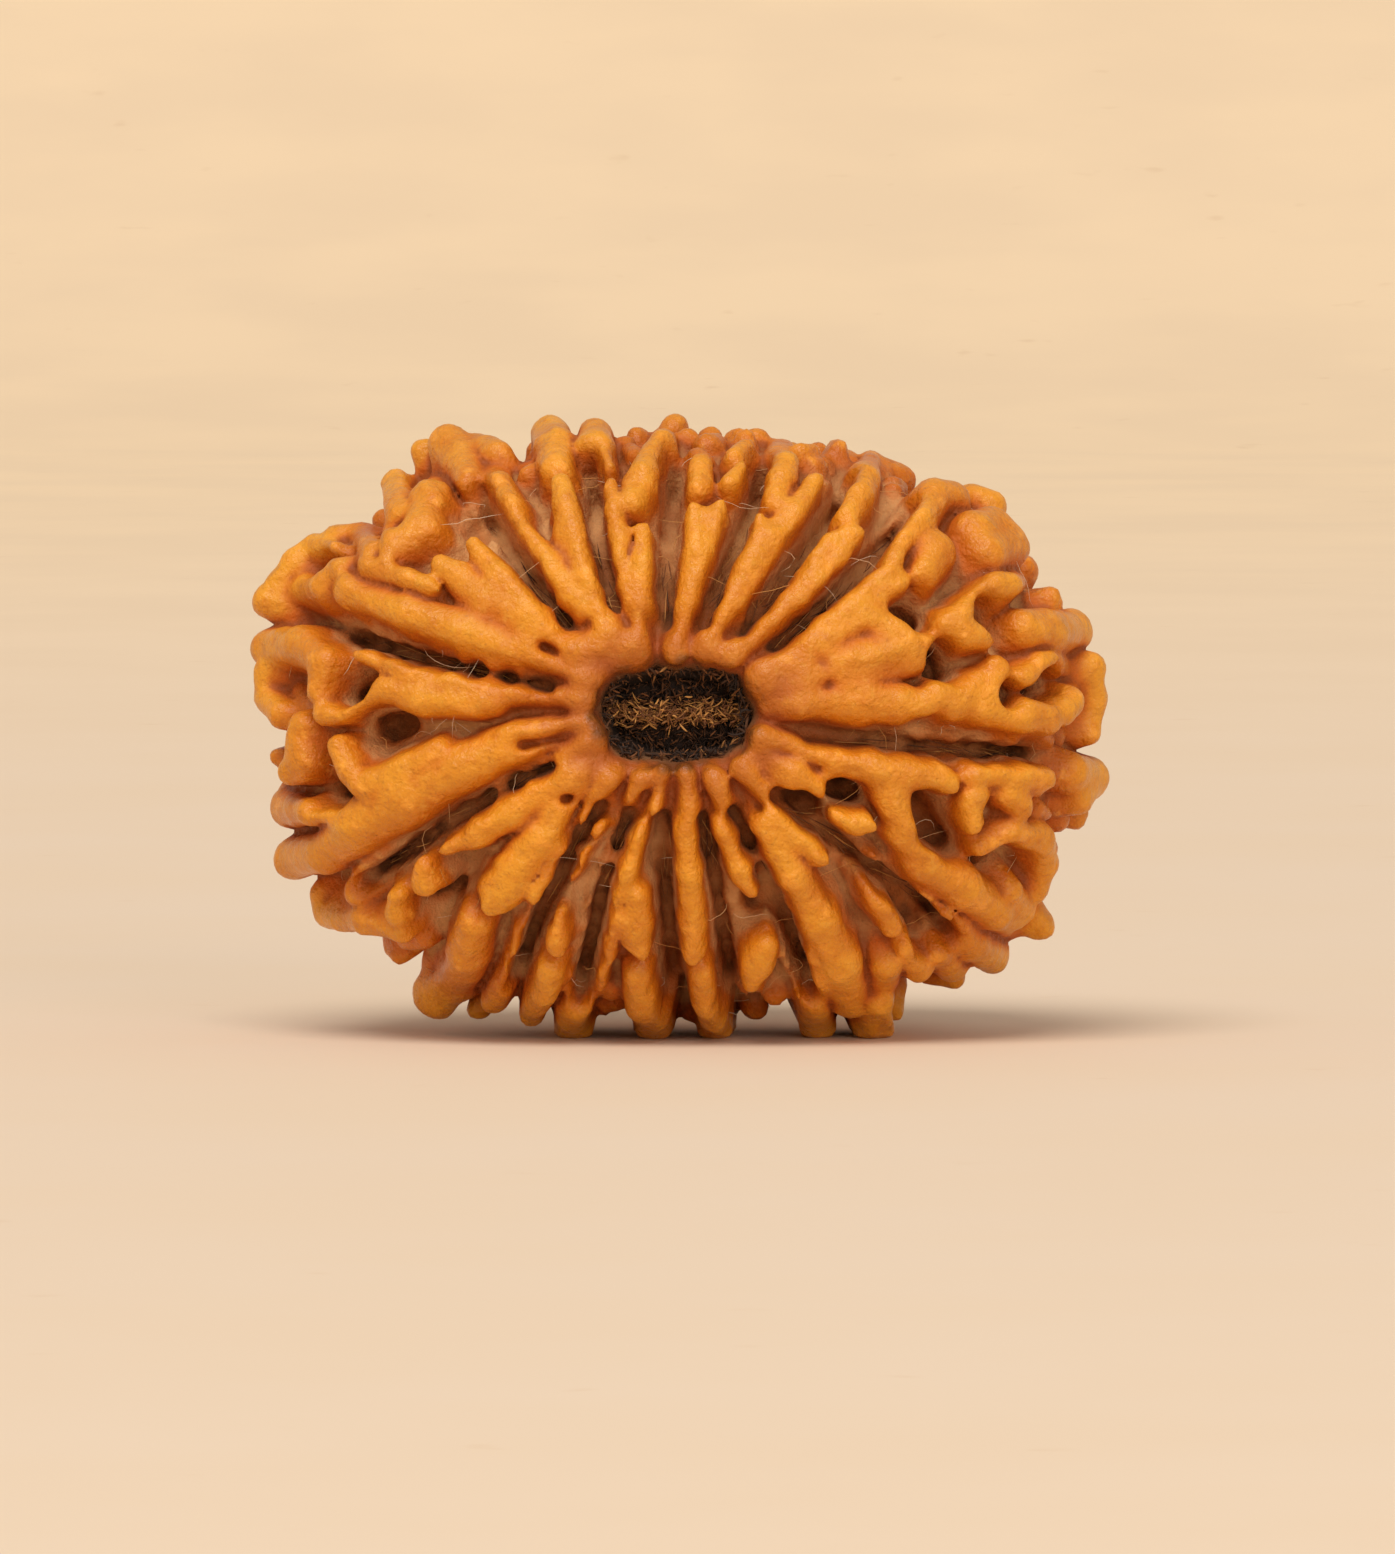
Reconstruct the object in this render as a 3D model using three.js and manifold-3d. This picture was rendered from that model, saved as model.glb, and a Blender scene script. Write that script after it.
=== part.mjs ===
// A fifteen mukhi rudraksha bead: the stone of an Elaeocarpus fruit, lying on the edge of its
// girdle so that one pole, with its mouth of dried fibre, faces the viewer along +Y.
// Fifteen dark grooves run from mouth to mouth. Between them stand knobbed, round-topped ridges.
// Millimetres, +Z up, -Y towards the viewer. The origin is under the middle of the bead's box.
//
// Tables are read as [x, z, radius] in a view from the front that looks down a little, with the
// front mouth's centre at 0, 0. A fourth number gives y, where a lobe stands near the girdle.
import * as THREE from "three";
import { mergeVertices } from "three/addons/utils/BufferGeometryUtils.js";
import Module from "manifold-3d";

// The rounded surface that the ridge crests touch, and the valley floor inside it.
const CENTRE = new THREE.Vector3(0.2, 0, -0.85);
const CREST = { x: 15.15, y: 9.4, z: 11.3 };
const RIDGE_RISE = { x: 2.5, y: 1.8, z: 2.3 };
const OUTLINE_POWER = 2.35;
const PROFILE_POWER = 2.5;

// The plane that the lowest lobes are worn flat on, and the middle of the box along x.
const REST_Z = -12.1;
const BOX_MIDDLE = new THREE.Vector3(0.15, 0, 0);

// How much lower a point of the tables lies for each millimetre that it is behind the front mouth.
const VIEW_TILT = 0.052;

// The pole to pole axis is tipped, so the back mouth lies lower than the front one.
const BACK_MOUTH_Z = -1.3;

// Ridges: round-topped walls that widen a little towards their roots.
const WALL_DEPTH = 2.4;
const FLARE = { ridge: 0.14, cut: 0.04 };
const BLEND = 0.15;

// Ridges are slimmer beside the front mouth, where they crowd together, and fuller further out. The
// shares are of the tables' radii, and the change runs between these levels, which count 1 on the rim.
const FULLNESS = { near: 0.78, far: 1.2, from: 1.1, to: 2.4 };

// The boxy mouth at each pole, the collar that the ridges run into, the ends of the front ridges
// that hang a little over the rim, and the plug of dried fibre.
const MOUTH = { x: 2.65, z: 1.7, power: 3, depth: 2.6 };
const COLLAR = { x: 3.7, z: 2.8, radius: 0.95, sink: 1.3, steps: 14 };
const RIM = { reach: 1.9, end: 1.04, sink: 0.45, thinner: 0.9 };
const PLUG = { x: 2.0, z: 1.15, thick: 0.75, recess: 0.95, fibres: 24, seeds: [7, 8] };
const FIBRE = { radius: 0.15, length: 1.5, lean: 0.5, turn: 0.45, spreadX: 0.5, spreadZ: 0.58 };

// Each groove's azimuth in degrees, beside the mouth and at the girdle.
const GROOVES = [
  [-163, -155.5], [-135, -126], [-119, -113], [-99, -92], [-74, -78],
  [-57, -61], [-37, -34.8], [-7, -3.8], [35.5, 42], [53, 54],
  [75, 71], [97, 92], [124, 111], [141, 133], [165.5, 164.5],
];
const GROOVE = {
  radius: 0.31,
  girdle: 24,
  sink: 0.15,
  last: 75,
  steps: 24,
  fade: 0.75,
  fadeFrom: 55,
  settle: 1.15,
};

// The meshes: the grid that each is drawn on, and how many triangles it is thinned to.
const STONE_MESH = { step: 0.38, margin: 0.9, triangles: 11800 };
const PLUG_MESH = { step: 0.13, margin: 0.9, triangles: 1400 };
const GRID_BLOCK = 6;
const TINY = 1e-9;
const SINGULAR = 1e-6;
const OFF_CORNER = 0.02;
const MOST_TURN = 0.25;
const WELD = 1e-4;
const SNAP = 0.03;

// Left of the mouth, between the grooves at -155 and 165 degrees.
const LEFT_RIDGES = [
  [[-3.4, 0.6, 0.7], [-5.5, 1.0, 0.6], [-7.5, 1.4, 0.6], [-9.5, 1.9, 0.65], [-11.2, 2.4, 0.5]],
  [[-6.5, 0.6, 0.5], [-9.0, 0.6, 0.5], [-10.4, 0.9, 0.45], [-11.5, 0.2, 0.45], [-12.6, 0.1, 0.4]],
  [[-14.6, 2.5, 0.6], [-13.4, 2.5, 0.65], [-12.5, 1.9, 0.6], [-12.7, 0.9, 0.5]],
  [[-14.75, 1.6, 0.4, -0.8], [-14.6, 0.6, 0.45, -0.8], [-14.2, 0.0, 0.45]],
  [[-13.3, -0.5, 0.6], [-13.2, -1.6, 0.7], [-13.8, -2.0, 0.4]],
  [[-12.0, -1.2, 0.45], [-11.6, -2.1, 0.4]],
  [[-3.3, -0.3, 0.6], [-5.5, -0.9, 0.6], [-7.5, -1.8, 0.75], [-9.5, -2.9, 0.9], [-11.3, -3.9, 0.85],
    [-12.6, -5.0, 0.65], [-13.8, -5.2, 0.65]],
  [[-8.5, -1.2, 0.4], [-9.7, -1.9, 0.5], [-11.0, -2.4, 0.45]],
  [[-14.0, -3.3, 0.6], [-13.1, -3.5, 0.4], [-12.4, -3.4, 0.35]],
];
// Upper left, from 165 to 111 degrees.
const UPPER_LEFT_RIDGES = [
  [[-3.2, 1.4, 0.75], [-5.0, 2.2, 0.7], [-7.5, 3.0, 0.62], [-9.5, 3.7, 0.58], [-11.6, 4.45, 0.52]],
  [[-3.4, 2.2, 0.8], [-5.0, 3.6, 0.75], [-6.2, 4.9, 0.6], [-7.2, 6.2, 0.32]],
  [[-4.6, 2.9, 0.8], [-6.6, 4.1, 0.7], [-7.6, 4.8, 0.55], [-8.4, 5.4, 0.32]],
  [[-9.9, 6.0, 0.45], [-9.0, 6.6, 0.7], [-8.8, 7.7, 0.7]],
  [[-9.8, 7.2, 0.55], [-10.1, 8.5, 0.42]],
  [[-14.7, 4.15, 0.5], [-13.5, 4.5, 0.58], [-12.4, 4.7, 0.55], [-11.8, 5.2, 0.45]],
  [[-14.3, 4.8, 0.4], [-13.8, 5.5, 0.42], [-13.0, 6.1, 0.4], [-12.2, 5.9, 0.35]],
  [[-12.2, 6.3, 0.5, -0.4], [-11.3, 6.4, 0.5, -0.6], [-10.8, 5.9, 0.3]],
  [[-10.25, 6.5, 0.16], [-10.35, 5.5, 0.2]],
  [[-2.6, 2.4, 0.7], [-3.6, 3.8, 0.65], [-4.6, 5.2, 0.58], [-5.5, 6.4, 0.42]],
  [[-2.4, 3.0, 0.6], [-3.1, 4.8, 0.6], [-3.6, 6.4, 0.6], [-3.9, 7.5, 0.42], [-4.05, 8.3, 0.26]],
  [[-5.7, 6.3, 0.5], [-6.1, 7.2, 0.72], [-6.4, 8.2, 0.6]],
  [[-7.2, 8.2, 0.35], [-7.6, 9.0, 0.6], [-8.3, 9.8, 0.58]],
  [[-7.2, 9.5, 0.5], [-6.4, 9.4, 0.42]],
  [[-8.7, 8.9, 0.4, 1.2], [-9.1, 9.6, 0.42, 1.2]],
  [[-4.25, 8.8, 0.5], [-4.35, 9.6, 0.55], [-4.5, 10.25, 0.46]],
  [[-5.0, 8.7, 0.45, 1.8], [-5.1, 9.6, 0.32, 1.8]],
  [[-11.0, 5.3, 0.3], [-9.6, 4.9, 0.3], [-8.8, 4.6, 0.3]],
];
// Above the mouth, from 111 to 42 degrees.
const TOP_RIDGES = [
  [[-1.7, 2.4, 0.6], [-1.85, 4.2, 0.48], [-2.2, 6.0, 0.48], [-2.5, 7.3, 0.48], [-2.65, 8.2, 0.38]],
  [[-1.4, 2.5, 0.5], [-1.3, 3.9, 0.46], [-1.2, 5.4, 0.42], [-1.1, 6.6, 0.3]],
  [[-2.8, 8.9, 0.46], [-2.85, 9.5, 0.5], [-2.9, 10.1, 0.46]],
  [[-1.4, 7.6, 0.42], [-1.1, 8.4, 0.55], [-0.6, 9.4, 0.5], [-0.45, 9.8, 0.4]],
  [[-0.1, 9.6, 0.4, 0.9], [0.0, 10.5, 0.38, 0.9]],
  [[0.05, 2.3, 0.58], [0.35, 4.0, 0.48], [0.85, 5.6, 0.58], [1.5, 7.1, 0.5]],
  [[0.8, 5.8, 0.5], [0.65, 7.1, 0.42]],
  [[0.85, 8.1, 0.48], [0.87, 9.0, 0.38]],
  [[1.15, 9.2, 0.38, 1.0], [1.22, 10.05, 0.36, 1.0]],
  [[1.6, 9.2, 0.32, 2.2]],
  [[1.1, 2.4, 0.58], [1.95, 4.0, 0.54], [2.6, 5.3, 0.6], [3.4, 6.25, 0.52], [4.3, 7.3, 0.46],
    [5.05, 8.3, 0.4]],
  [[2.75, 5.9, 0.4], [2.9, 7.0, 0.34]],
  [[2.0, 8.3, 0.35], [2.6, 8.9, 0.36]],
  [[3.55, 7.6, 0.48], [3.65, 8.4, 0.58], [3.8, 9.0, 0.46]],
  [[4.25, 8.6, 0.42, 2.0]],
  [[2.0, 2.2, 0.6], [3.4, 3.5, 0.58], [4.9, 4.75, 0.62], [6.05, 5.6, 0.56]],
  [[4.5, 5.3, 0.5], [5.5, 6.1, 0.42], [6.4, 6.4, 0.42]],
  [[6.1, 7.1, 0.5], [6.45, 7.8, 0.6], [6.8, 8.5, 0.55]],
  [[5.6, 8.7, 0.38, 1.6], [6.3, 9.1, 0.3, 1.6]],
  [[7.35, 8.5, 0.38, 1.2], [7.3, 7.6, 0.35, 0.8]],
  [[7.85, 8.2, 0.4, 2.4]],
];
// The wide fused plate and the knobs right of the mouth, from 42 to -4 degrees.
const RIGHT_RIDGES = [
  [[3.2, 1.4, 0.85], [5.0, 2.5, 0.95], [6.5, 3.7, 0.8], [7.35, 4.7, 0.5]],
  [[4.5, 1.4, 0.95], [6.5, 1.9, 1.0], [8.3, 2.4, 0.8], [8.95, 2.5, 0.55]],
  [[4.4, 0.5, 0.7], [6.5, 0.6, 0.85], [8.1, 0.4, 0.6]],
  [[7.3, 3.2, 0.6], [8.0, 3.2, 0.5]],
  [[8.9, 5.1, 0.55], [9.15, 5.7, 0.85]],
  [[8.0, 4.5, 0.45], [7.75, 5.6, 0.38], [8.0, 6.5, 0.5], [8.6, 7.0, 0.58]],
  [[8.7, 7.3, 0.5], [9.3, 7.9, 0.6], [9.95, 7.8, 0.58]],
  [[10.7, 6.5, 0.75], [11.3, 6.7, 0.72], [11.9, 6.1, 0.72], [11.1, 5.8, 0.7]],
  [[10.7, 7.9, 0.42, 0.8], [11.4, 7.6, 0.4, 0.8]],
  [[12.5, 5.2, 0.55, 0.9], [12.3, 4.5, 0.45, 0.9]],
  [[10.7, 4.2, 0.3], [11.5, 4.6, 0.36], [12.0, 4.7, 0.32]],
  [[9.2, 3.3, 0.34], [10.0, 3.3, 0.6], [10.4, 3.85, 0.4]],
  [[10.1, 2.9, 0.6], [11.0, 2.85, 0.5]],
  [[9.9, 0.5, 0.7], [11.0, 0.9, 0.75], [11.5, 1.6, 0.55]],
  [[11.0, 0.3, 0.6], [12.3, 0.05, 0.55], [13.2, -0.1, 0.5]],
  [[12.4, 1.3, 0.36], [13.1, 1.75, 0.4], [13.5, 1.85, 0.32]],
  [[12.5, 3.1, 0.62], [13.3, 3.0, 0.68], [14.3, 3.1, 0.6]],
  [[13.8, 0.2, 0.48], [14.15, 0.5, 0.42]],
  [[15.0, 1.7, 0.46, -0.6], [15.1, 0.6, 0.42, -0.4], [15.0, -0.6, 0.46, -0.6]],
  [[8.9, 0.4, 0.4], [9.6, 0.9, 0.4]],
];
// Lower right, from -4 to -61 degrees.
const LOWER_RIGHT_RIDGES = [
  [[3.1, -0.8, 0.5], [5.0, -1.6, 0.68], [7.0, -1.9, 0.8], [8.8, -1.8, 0.72], [9.5, -2.3, 0.55]],
  [[4.2, -2.1, 0.55], [5.5, -3.2, 0.5], [6.5, -3.8, 0.46]],
  [[7.6, -2.7, 0.6], [8.2, -4.0, 0.58], [8.8, -5.1, 0.75], [10.3, -6.1, 0.75], [11.4, -6.9, 0.68],
    [12.2, -7.3, 0.55]],
  [[10.8, -1.9, 0.75], [12.0, -1.9, 0.85], [12.9, -2.1, 0.68]],
  [[10.7, -2.9, 0.5], [10.6, -3.8, 0.42]],
  [[11.9, -2.8, 0.6], [12.4, -3.3, 0.46]],
  [[14.2, -2.0, 0.65], [14.9, -2.2, 0.58], [14.4, -3.0, 0.5]],
  [[14.5, -3.6, 0.3, 0.6]],
  [[10.9, -4.8, 0.35], [12.0, -4.3, 0.46], [13.1, -4.4, 0.5], [13.3, -5.4, 0.48], [13.0, -6.2, 0.45]],
  [[12.1, -6.3, 0.46], [12.3, -7.1, 0.5]],
  [[13.2, -7.6, 0.46, -0.5], [12.6, -7.4, 0.4]],
  [[2.5, -1.9, 0.56], [3.5, -3.3, 0.56], [4.5, -4.2, 0.52], [5.2, -5.0, 0.4]],
  [[3.2, -4.0, 0.5], [4.2, -5.7, 0.56], [5.2, -7.2, 0.6], [5.9, -8.7, 0.62], [6.3, -10.3, 0.48]],
  [[6.9, -5.5, 0.42], [7.5, -6.5, 0.66], [7.9, -7.4, 0.55]],
  [[8.3, -6.6, 0.6], [9.5, -7.4, 0.55], [10.7, -8.2, 0.54], [11.5, -8.7, 0.48]],
  [[9.5, -8.5, 0.48], [10.0, -9.1, 0.42]],
  [[8.3, -8.3, 0.42], [8.8, -9.1, 0.42]],
  [[10.1, -9.5, 0.3, 0.6], [9.0, -9.6, 0.3, 0.8]],
  [[7.6, -8.9, 0.5], [7.3, -10.2, 0.52], [7.1, -11.1, 0.5]],
  [[8.1, -9.8, 0.35, 1.6], [8.0, -10.8, 0.3, 1.6]],
];
// Below the mouth, from -61 to -126 degrees.
const BOTTOM_RIDGES = [
  [[1.4, -2.3, 0.52], [1.9, -4.1, 0.52], [2.5, -5.5, 0.52], [3.2, -6.5, 0.48]],
  [[3.4, -8.0, 0.5], [2.9, -8.8, 0.58], [2.6, -9.5, 0.5]],
  [[3.9, -7.4, 0.46], [4.3, -8.5, 0.5], [4.8, -9.7, 0.5], [5.1, -10.8, 0.42]],
  [[2.9, -10.5, 0.42, -0.6]],
  [[0.4, -2.1, 0.48], [0.4, -3.9, 0.48], [0.5, -5.7, 0.52], [0.6, -7.3, 0.58], [0.6, -8.3, 0.48]],
  [[1.0, -9.2, 0.5], [1.25, -10.2, 0.55], [1.4, -10.9, 0.45]],
  [[0.3, -9.8, 0.35, -0.6], [0.6, -10.6, 0.35, -0.6]],
  [[-0.5, -2.0, 0.42], [-0.75, -3.2, 0.3]],
  [[-1.2, -2.3, 0.48], [-1.6, -4.1, 0.48], [-2.0, -5.7, 0.5], [-2.4, -7.1, 0.46], [-2.8, -8.5, 0.48],
    [-3.2, -9.8, 0.46], [-3.75, -10.9, 0.4]],
  [[-1.35, -6.5, 0.4], [-1.3, -7.4, 0.52], [-1.2, -8.2, 0.44]],
  [[-1.3, -9.3, 0.48], [-1.05, -10.4, 0.6], [-0.75, -11.1, 0.5]],
  [[-2.4, -2.3, 0.52], [-3.0, -3.9, 0.48], [-3.9, -5.3, 0.48], [-4.7, -6.4, 0.42]],
  [[-4.6, -7.2, 0.55], [-4.3, -8.1, 0.45]],
  [[-5.3, -8.1, 0.46], [-5.8, -9.2, 0.4], [-6.6, -10.3, 0.42]],
  [[-7.1, -10.6, 0.36, 0.4]],
  [[-4.5, -9.1, 0.45], [-4.8, -9.9, 0.42], [-5.2, -10.8, 0.34]],
];
// Lower left, from -126 to -155 degrees.
const LOWER_LEFT_RIDGES = [
  [[-3.0, -0.9, 0.65], [-4.4, -2.3, 0.66], [-5.8, -3.2, 0.66], [-7.2, -4.0, 0.6], [-8.3, -4.5, 0.4]],
  [[-3.6, -2.2, 0.6], [-4.7, -4.3, 0.58], [-5.6, -5.4, 0.58], [-6.3, -6.3, 0.6]],
  [[-9.2, -5.2, 0.42], [-8.9, -6.1, 0.48]],
  [[-9.9, -6.5, 0.45], [-9.9, -7.1, 0.42]],
  [[-11.5, -6.3, 0.46], [-10.6, -5.8, 0.44]],
  [[-12.8, -6.5, 0.48], [-12.5, -7.1, 0.5], [-11.2, -7.4, 0.42], [-9.8, -7.8, 0.38]],
  [[-7.3, -7.5, 0.58], [-7.5, -8.5, 0.68], [-7.8, -9.5, 0.78], [-8.7, -10.1, 0.7]],
];
// The lobes that the bead lies on run along y, over the girdle.
const RESTING_RIDGES = [
  [[-3.75, -10.5, 0.45, -3.2], [-3.75, -11.28, 0.48, -1.2], [-3.75, -11.3, 0.5, 1.4],
    [-3.8, -10.5, 0.5, 3.6]],
  [[-0.6, -10.5, 0.45, -3.6], [-0.8, -11.3, 0.5, -1.6], [-0.85, -11.32, 0.5, 1.2],
    [-0.9, -10.6, 0.5, 3.3]],
  [[1.4, -10.5, 0.42, -3.2], [1.45, -11.25, 0.48, -1.2], [1.5, -11.3, 0.5, 1.6], [1.55, -10.5, 0.5, 3.8]],
  [[4.9, -10.3, 0.42, -3.1], [5.1, -11.2, 0.48, -1.1], [5.15, -11.25, 0.5, 1.5], [5.1, -10.4, 0.5, 3.5]],
  [[7.3, -10.3, 0.5, -3.0], [7.1, -11.3, 0.5, -1.2], [7.0, -11.3, 0.5, 1.6], [6.8, -10.4, 0.5, 3.5]],
];
const FRONT_RIDGES = [
  ...LEFT_RIDGES, ...UPPER_LEFT_RIDGES, ...TOP_RIDGES, ...RIGHT_RIDGES,
  ...LOWER_RIGHT_RIDGES, ...BOTTOM_RIDGES, ...LOWER_LEFT_RIDGES, ...RESTING_RIDGES,
];

// Small dark pits between the lobes.
const PITS = [
  [[-12.1, 0.8, 0.3], [-11.5, 1.1, 0.3]],
  [[-11.2, -0.5, 0.35], [-10.6, -0.3, 0.3]],
  [[-13.0, -2.9, 0.28], [-12.3, -2.9, 0.28]],
  [[-13.0, 5.5, 0.26], [-12.6, 5.45, 0.2]],
  [[6.0, -2.75, 0.28], [6.5, -2.9, 0.28]],
  [[4.2, -2.9, 0.28], [4.9, -3.5, 0.28]],
  [[8.5, 3.9, 0.3], [8.8, 3.6, 0.28]],
  [[9.6, 2.2, 0.28], [9.8, 1.7, 0.28]],
  [[12.1, 0.75, 0.24]],
  [[13.4, 1.1, 0.28], [13.9, 1.4, 0.3]],
  [[11.2, 3.9, 0.28], [11.5, 3.4, 0.24]],
  [[9.1, -3.3, 0.3], [9.5, -4.2, 0.3], [10.2, -5.0, 0.25]],
  [[11.6, -5.7, 0.25], [12.0, -5.2, 0.3]],
  [[8.65, -7.5, 0.2]],
  [[9.1, -8.1, 0.2], [9.2, -8.6, 0.2]],
  [[2.9, -7.2, 0.3], [2.9, -7.7, 0.25]],
  [[-9.3, -7.2, 0.25], [-8.5, -6.95, 0.28]],
  [[-7.9, 8.0, 0.2], [-7.4, 7.6, 0.25]],
];

// Behind the girdle each lobe of the outline runs on as a ridge. The ridges of one interval between
// grooves draw together into a few broader ones, which run into the mouth's collar.
const BACK = {
  seed: 15,
  outline: 0.86,
  outer: { latitudes: [12, 24, 35], radius: [0.45, 0.62], first: [0.3, 0.6], sink: [0, 0.3] },
  fork: { latitude: 46, radius: [0.6, 0.75], sink: 0.1 },
  inner: { latitudes: [57, 68, 77], radius: [0.3, 0.75], sink: [0, 0.15] },
  girthOfOne: 4.25,
  shift: 0.1,
  wander: 0.06,
  broken: 0.35,
};

const toRadians = THREE.MathUtils.degToRad;

// The same draws on every run.
function makeRandom(seed) {
  let state = seed;
  return () => {
    state = (state * 1664525 + 1013904223) % 4294967296;
    return state / 4294967296;
  };
}

// How a point stands to a rounded surface of these half sizes: its distance, and the way out.
function roundedSurface(p, half) {
  const x = (p.x - CENTRE.x) / half.x;
  const y = (p.y - CENTRE.y) / half.y;
  const z = (p.z - CENTRE.z) / half.z;
  const outline = Math.abs(x) ** OUTLINE_POWER + Math.abs(z) ** OUTLINE_POWER + TINY;
  const profile = outline ** (PROFILE_POWER / OUTLINE_POWER) + Math.abs(y) ** PROFILE_POWER;
  const level = profile ** (1 / PROFILE_POWER);
  const share = level ** (1 - PROFILE_POWER);
  const round = share * outline ** (PROFILE_POWER / OUTLINE_POWER - 1);
  const slope = new THREE.Vector3(
    (Math.sign(x) * round * Math.abs(x) ** (OUTLINE_POWER - 1)) / half.x,
    (Math.sign(y) * share * Math.abs(y) ** (PROFILE_POWER - 1)) / half.y,
    (Math.sign(z) * round * Math.abs(z) ** (OUTLINE_POWER - 1)) / half.z,
  );
  const steepness = slope.length();
  return { distance: (level - 1) / steepness, normal: slope.divideScalar(steepness) };
}

// The height of the mouth on the side of a place's y.
function poleHeight(y) {
  return y > 0 ? BACK_MOUTH_Z : 0;
}

// How far out a place is from a mouth's middle: 1 on its rim.
function mouthLevel(x, z) {
  const [across, up] = [Math.abs(x / MOUTH.x), Math.abs(z / MOUTH.z)];
  return (across ** MOUTH.power + up ** MOUTH.power) ** (1 / MOUTH.power);
}

// Half sizes of the crest surface, sunk by an inset.
function sunkCrest(inset) {
  return { x: CREST.x - inset, y: CREST.y - inset, z: CREST.z - inset };
}

// A lobe's centre under the crest surface, and the way out there. Its depth sets how far the tilted
// view shifts it, so both are worked out in turn.
function lobe([x, z, tabled, y]) {
  const out = THREE.MathUtils.smoothstep(mouthLevel(x, z), FULLNESS.from, FULLNESS.to);
  const radius = tabled * THREE.MathUtils.lerp(FULLNESS.near, FULLNESS.far, out);
  const half = sunkCrest(radius);
  const centre = new THREE.Vector3(x, y ?? -half.y, z);
  for (let pass = 0; pass < 4; pass++) {
    centre.z = z - VIEW_TILT * (centre.y + CREST.y);
    if (y !== undefined) continue;
    const across = Math.abs((x - CENTRE.x) / half.x) ** OUTLINE_POWER;
    const up = Math.abs((centre.z - CENTRE.z) / half.z) ** OUTLINE_POWER;
    const reach = (across + up) ** (PROFILE_POWER / OUTLINE_POWER);
    centre.y = -half.y * Math.max(0, 1 - reach) ** (1 / PROFILE_POWER);
  }
  return { centre, radius, normal: roundedSurface(centre, half).normal };
}

// A lobe by azimuth and latitude in degrees, with latitude 90 at the back pole. The lines of all
// azimuths meet at the mouth, which lies a little off the girdle's middle.
function lobeBehind(azimuth, latitude, radius, sink) {
  const half = sunkCrest(radius + sink);
  const [turn, tilt] = [toRadians(azimuth), toRadians(latitude)];
  const round = Math.abs(Math.cos(tilt)) ** (2 / PROFILE_POWER);
  const [across, up] = [Math.cos(turn), Math.sin(turn)];
  const reach =
    round /
    (Math.abs(across / half.x) ** OUTLINE_POWER + Math.abs(up / half.z) ** OUTLINE_POWER) **
      (1 / OUTLINE_POWER);
  const centre = new THREE.Vector3(
    CENTRE.x * round + across * reach,
    Math.sign(tilt) * half.y * Math.abs(Math.sin(tilt)) ** (2 / PROFILE_POWER),
    THREE.MathUtils.lerp(poleHeight(tilt), CENTRE.z, round) + up * reach,
  );
  return { centre, radius, normal: roundedSurface(centre, half).normal };
}

// A groove's azimuth at a latitude: it bends between the mouth and the girdle.
function grooveAzimuth([inner, outer], latitude) {
  const girdleShare = Math.cos(toRadians(latitude));
  return THREE.MathUtils.lerp(inner, outer, Math.min(1, girdleShare * GROOVE.settle));
}

// A wall from one lobe to the next, rooted in the stone below them.
function wall(from, to) {
  const run = to.centre.clone().sub(from.centre);
  const up = from.normal.clone().add(to.normal).normalize();
  const middle = from.centre.clone().add(to.centre).multiplyScalar(0.5);
  const bound = run.length() / 2 + WALL_DEPTH + Math.max(from.radius, to.radius);
  const shallow = Boolean(from.shallow && to.shallow);
  return { from, to, run, up, middle, bound, shallow, runSquared: run.lengthSq() + TINY };
}

function wallsOf(chain) {
  if (chain.length === 1) return [wall(chain[0], chain[0])];
  return chain.slice(1).map((end, i) => wall(chain[i], end));
}

// Signed distance to a wall. A ridge reaches inwards from its crest, and a cut reaches outwards.
const offset = new THREE.Vector3();
function wallDistance(p, { from, to, run, up, runSquared }, outwards) {
  offset.subVectors(p, from.centre);
  const height = offset.dot(up);
  const along = outwards
    ? Math.min(Math.max(height, 0), 2 * WALL_DEPTH)
    : Math.max(Math.min(height, 0), -WALL_DEPTH);
  offset.addScaledVector(up, -along);
  const share = Math.min(Math.max(offset.dot(run) / runSquared, 0), 1);
  offset.addScaledVector(run, -share);
  const radius = from.radius + (to.radius - from.radius) * share;
  return offset.length() - radius - (outwards ? FLARE.cut : FLARE.ridge) * Math.abs(along);
}

// The lobes of the front that stand at the outline, with their azimuths.
function outlineLobes() {
  const found = [];
  for (const chain of FRONT_RIDGES) {
    const offCentre = ({ centre }) => centre.clone().sub(CENTRE).setY(0);
    const level = (place) => offCentre(place).divide(CREST).length();
    const start = chain.map(lobe).reduce((best, place) => (level(place) > level(best) ? place : best));
    if (level(start) < BACK.outline) continue;
    const out = offCentre(start);
    found.push({ azimuth: THREE.MathUtils.radToDeg(Math.atan2(out.z, out.x)), start });
  }
  return found;
}

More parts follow.
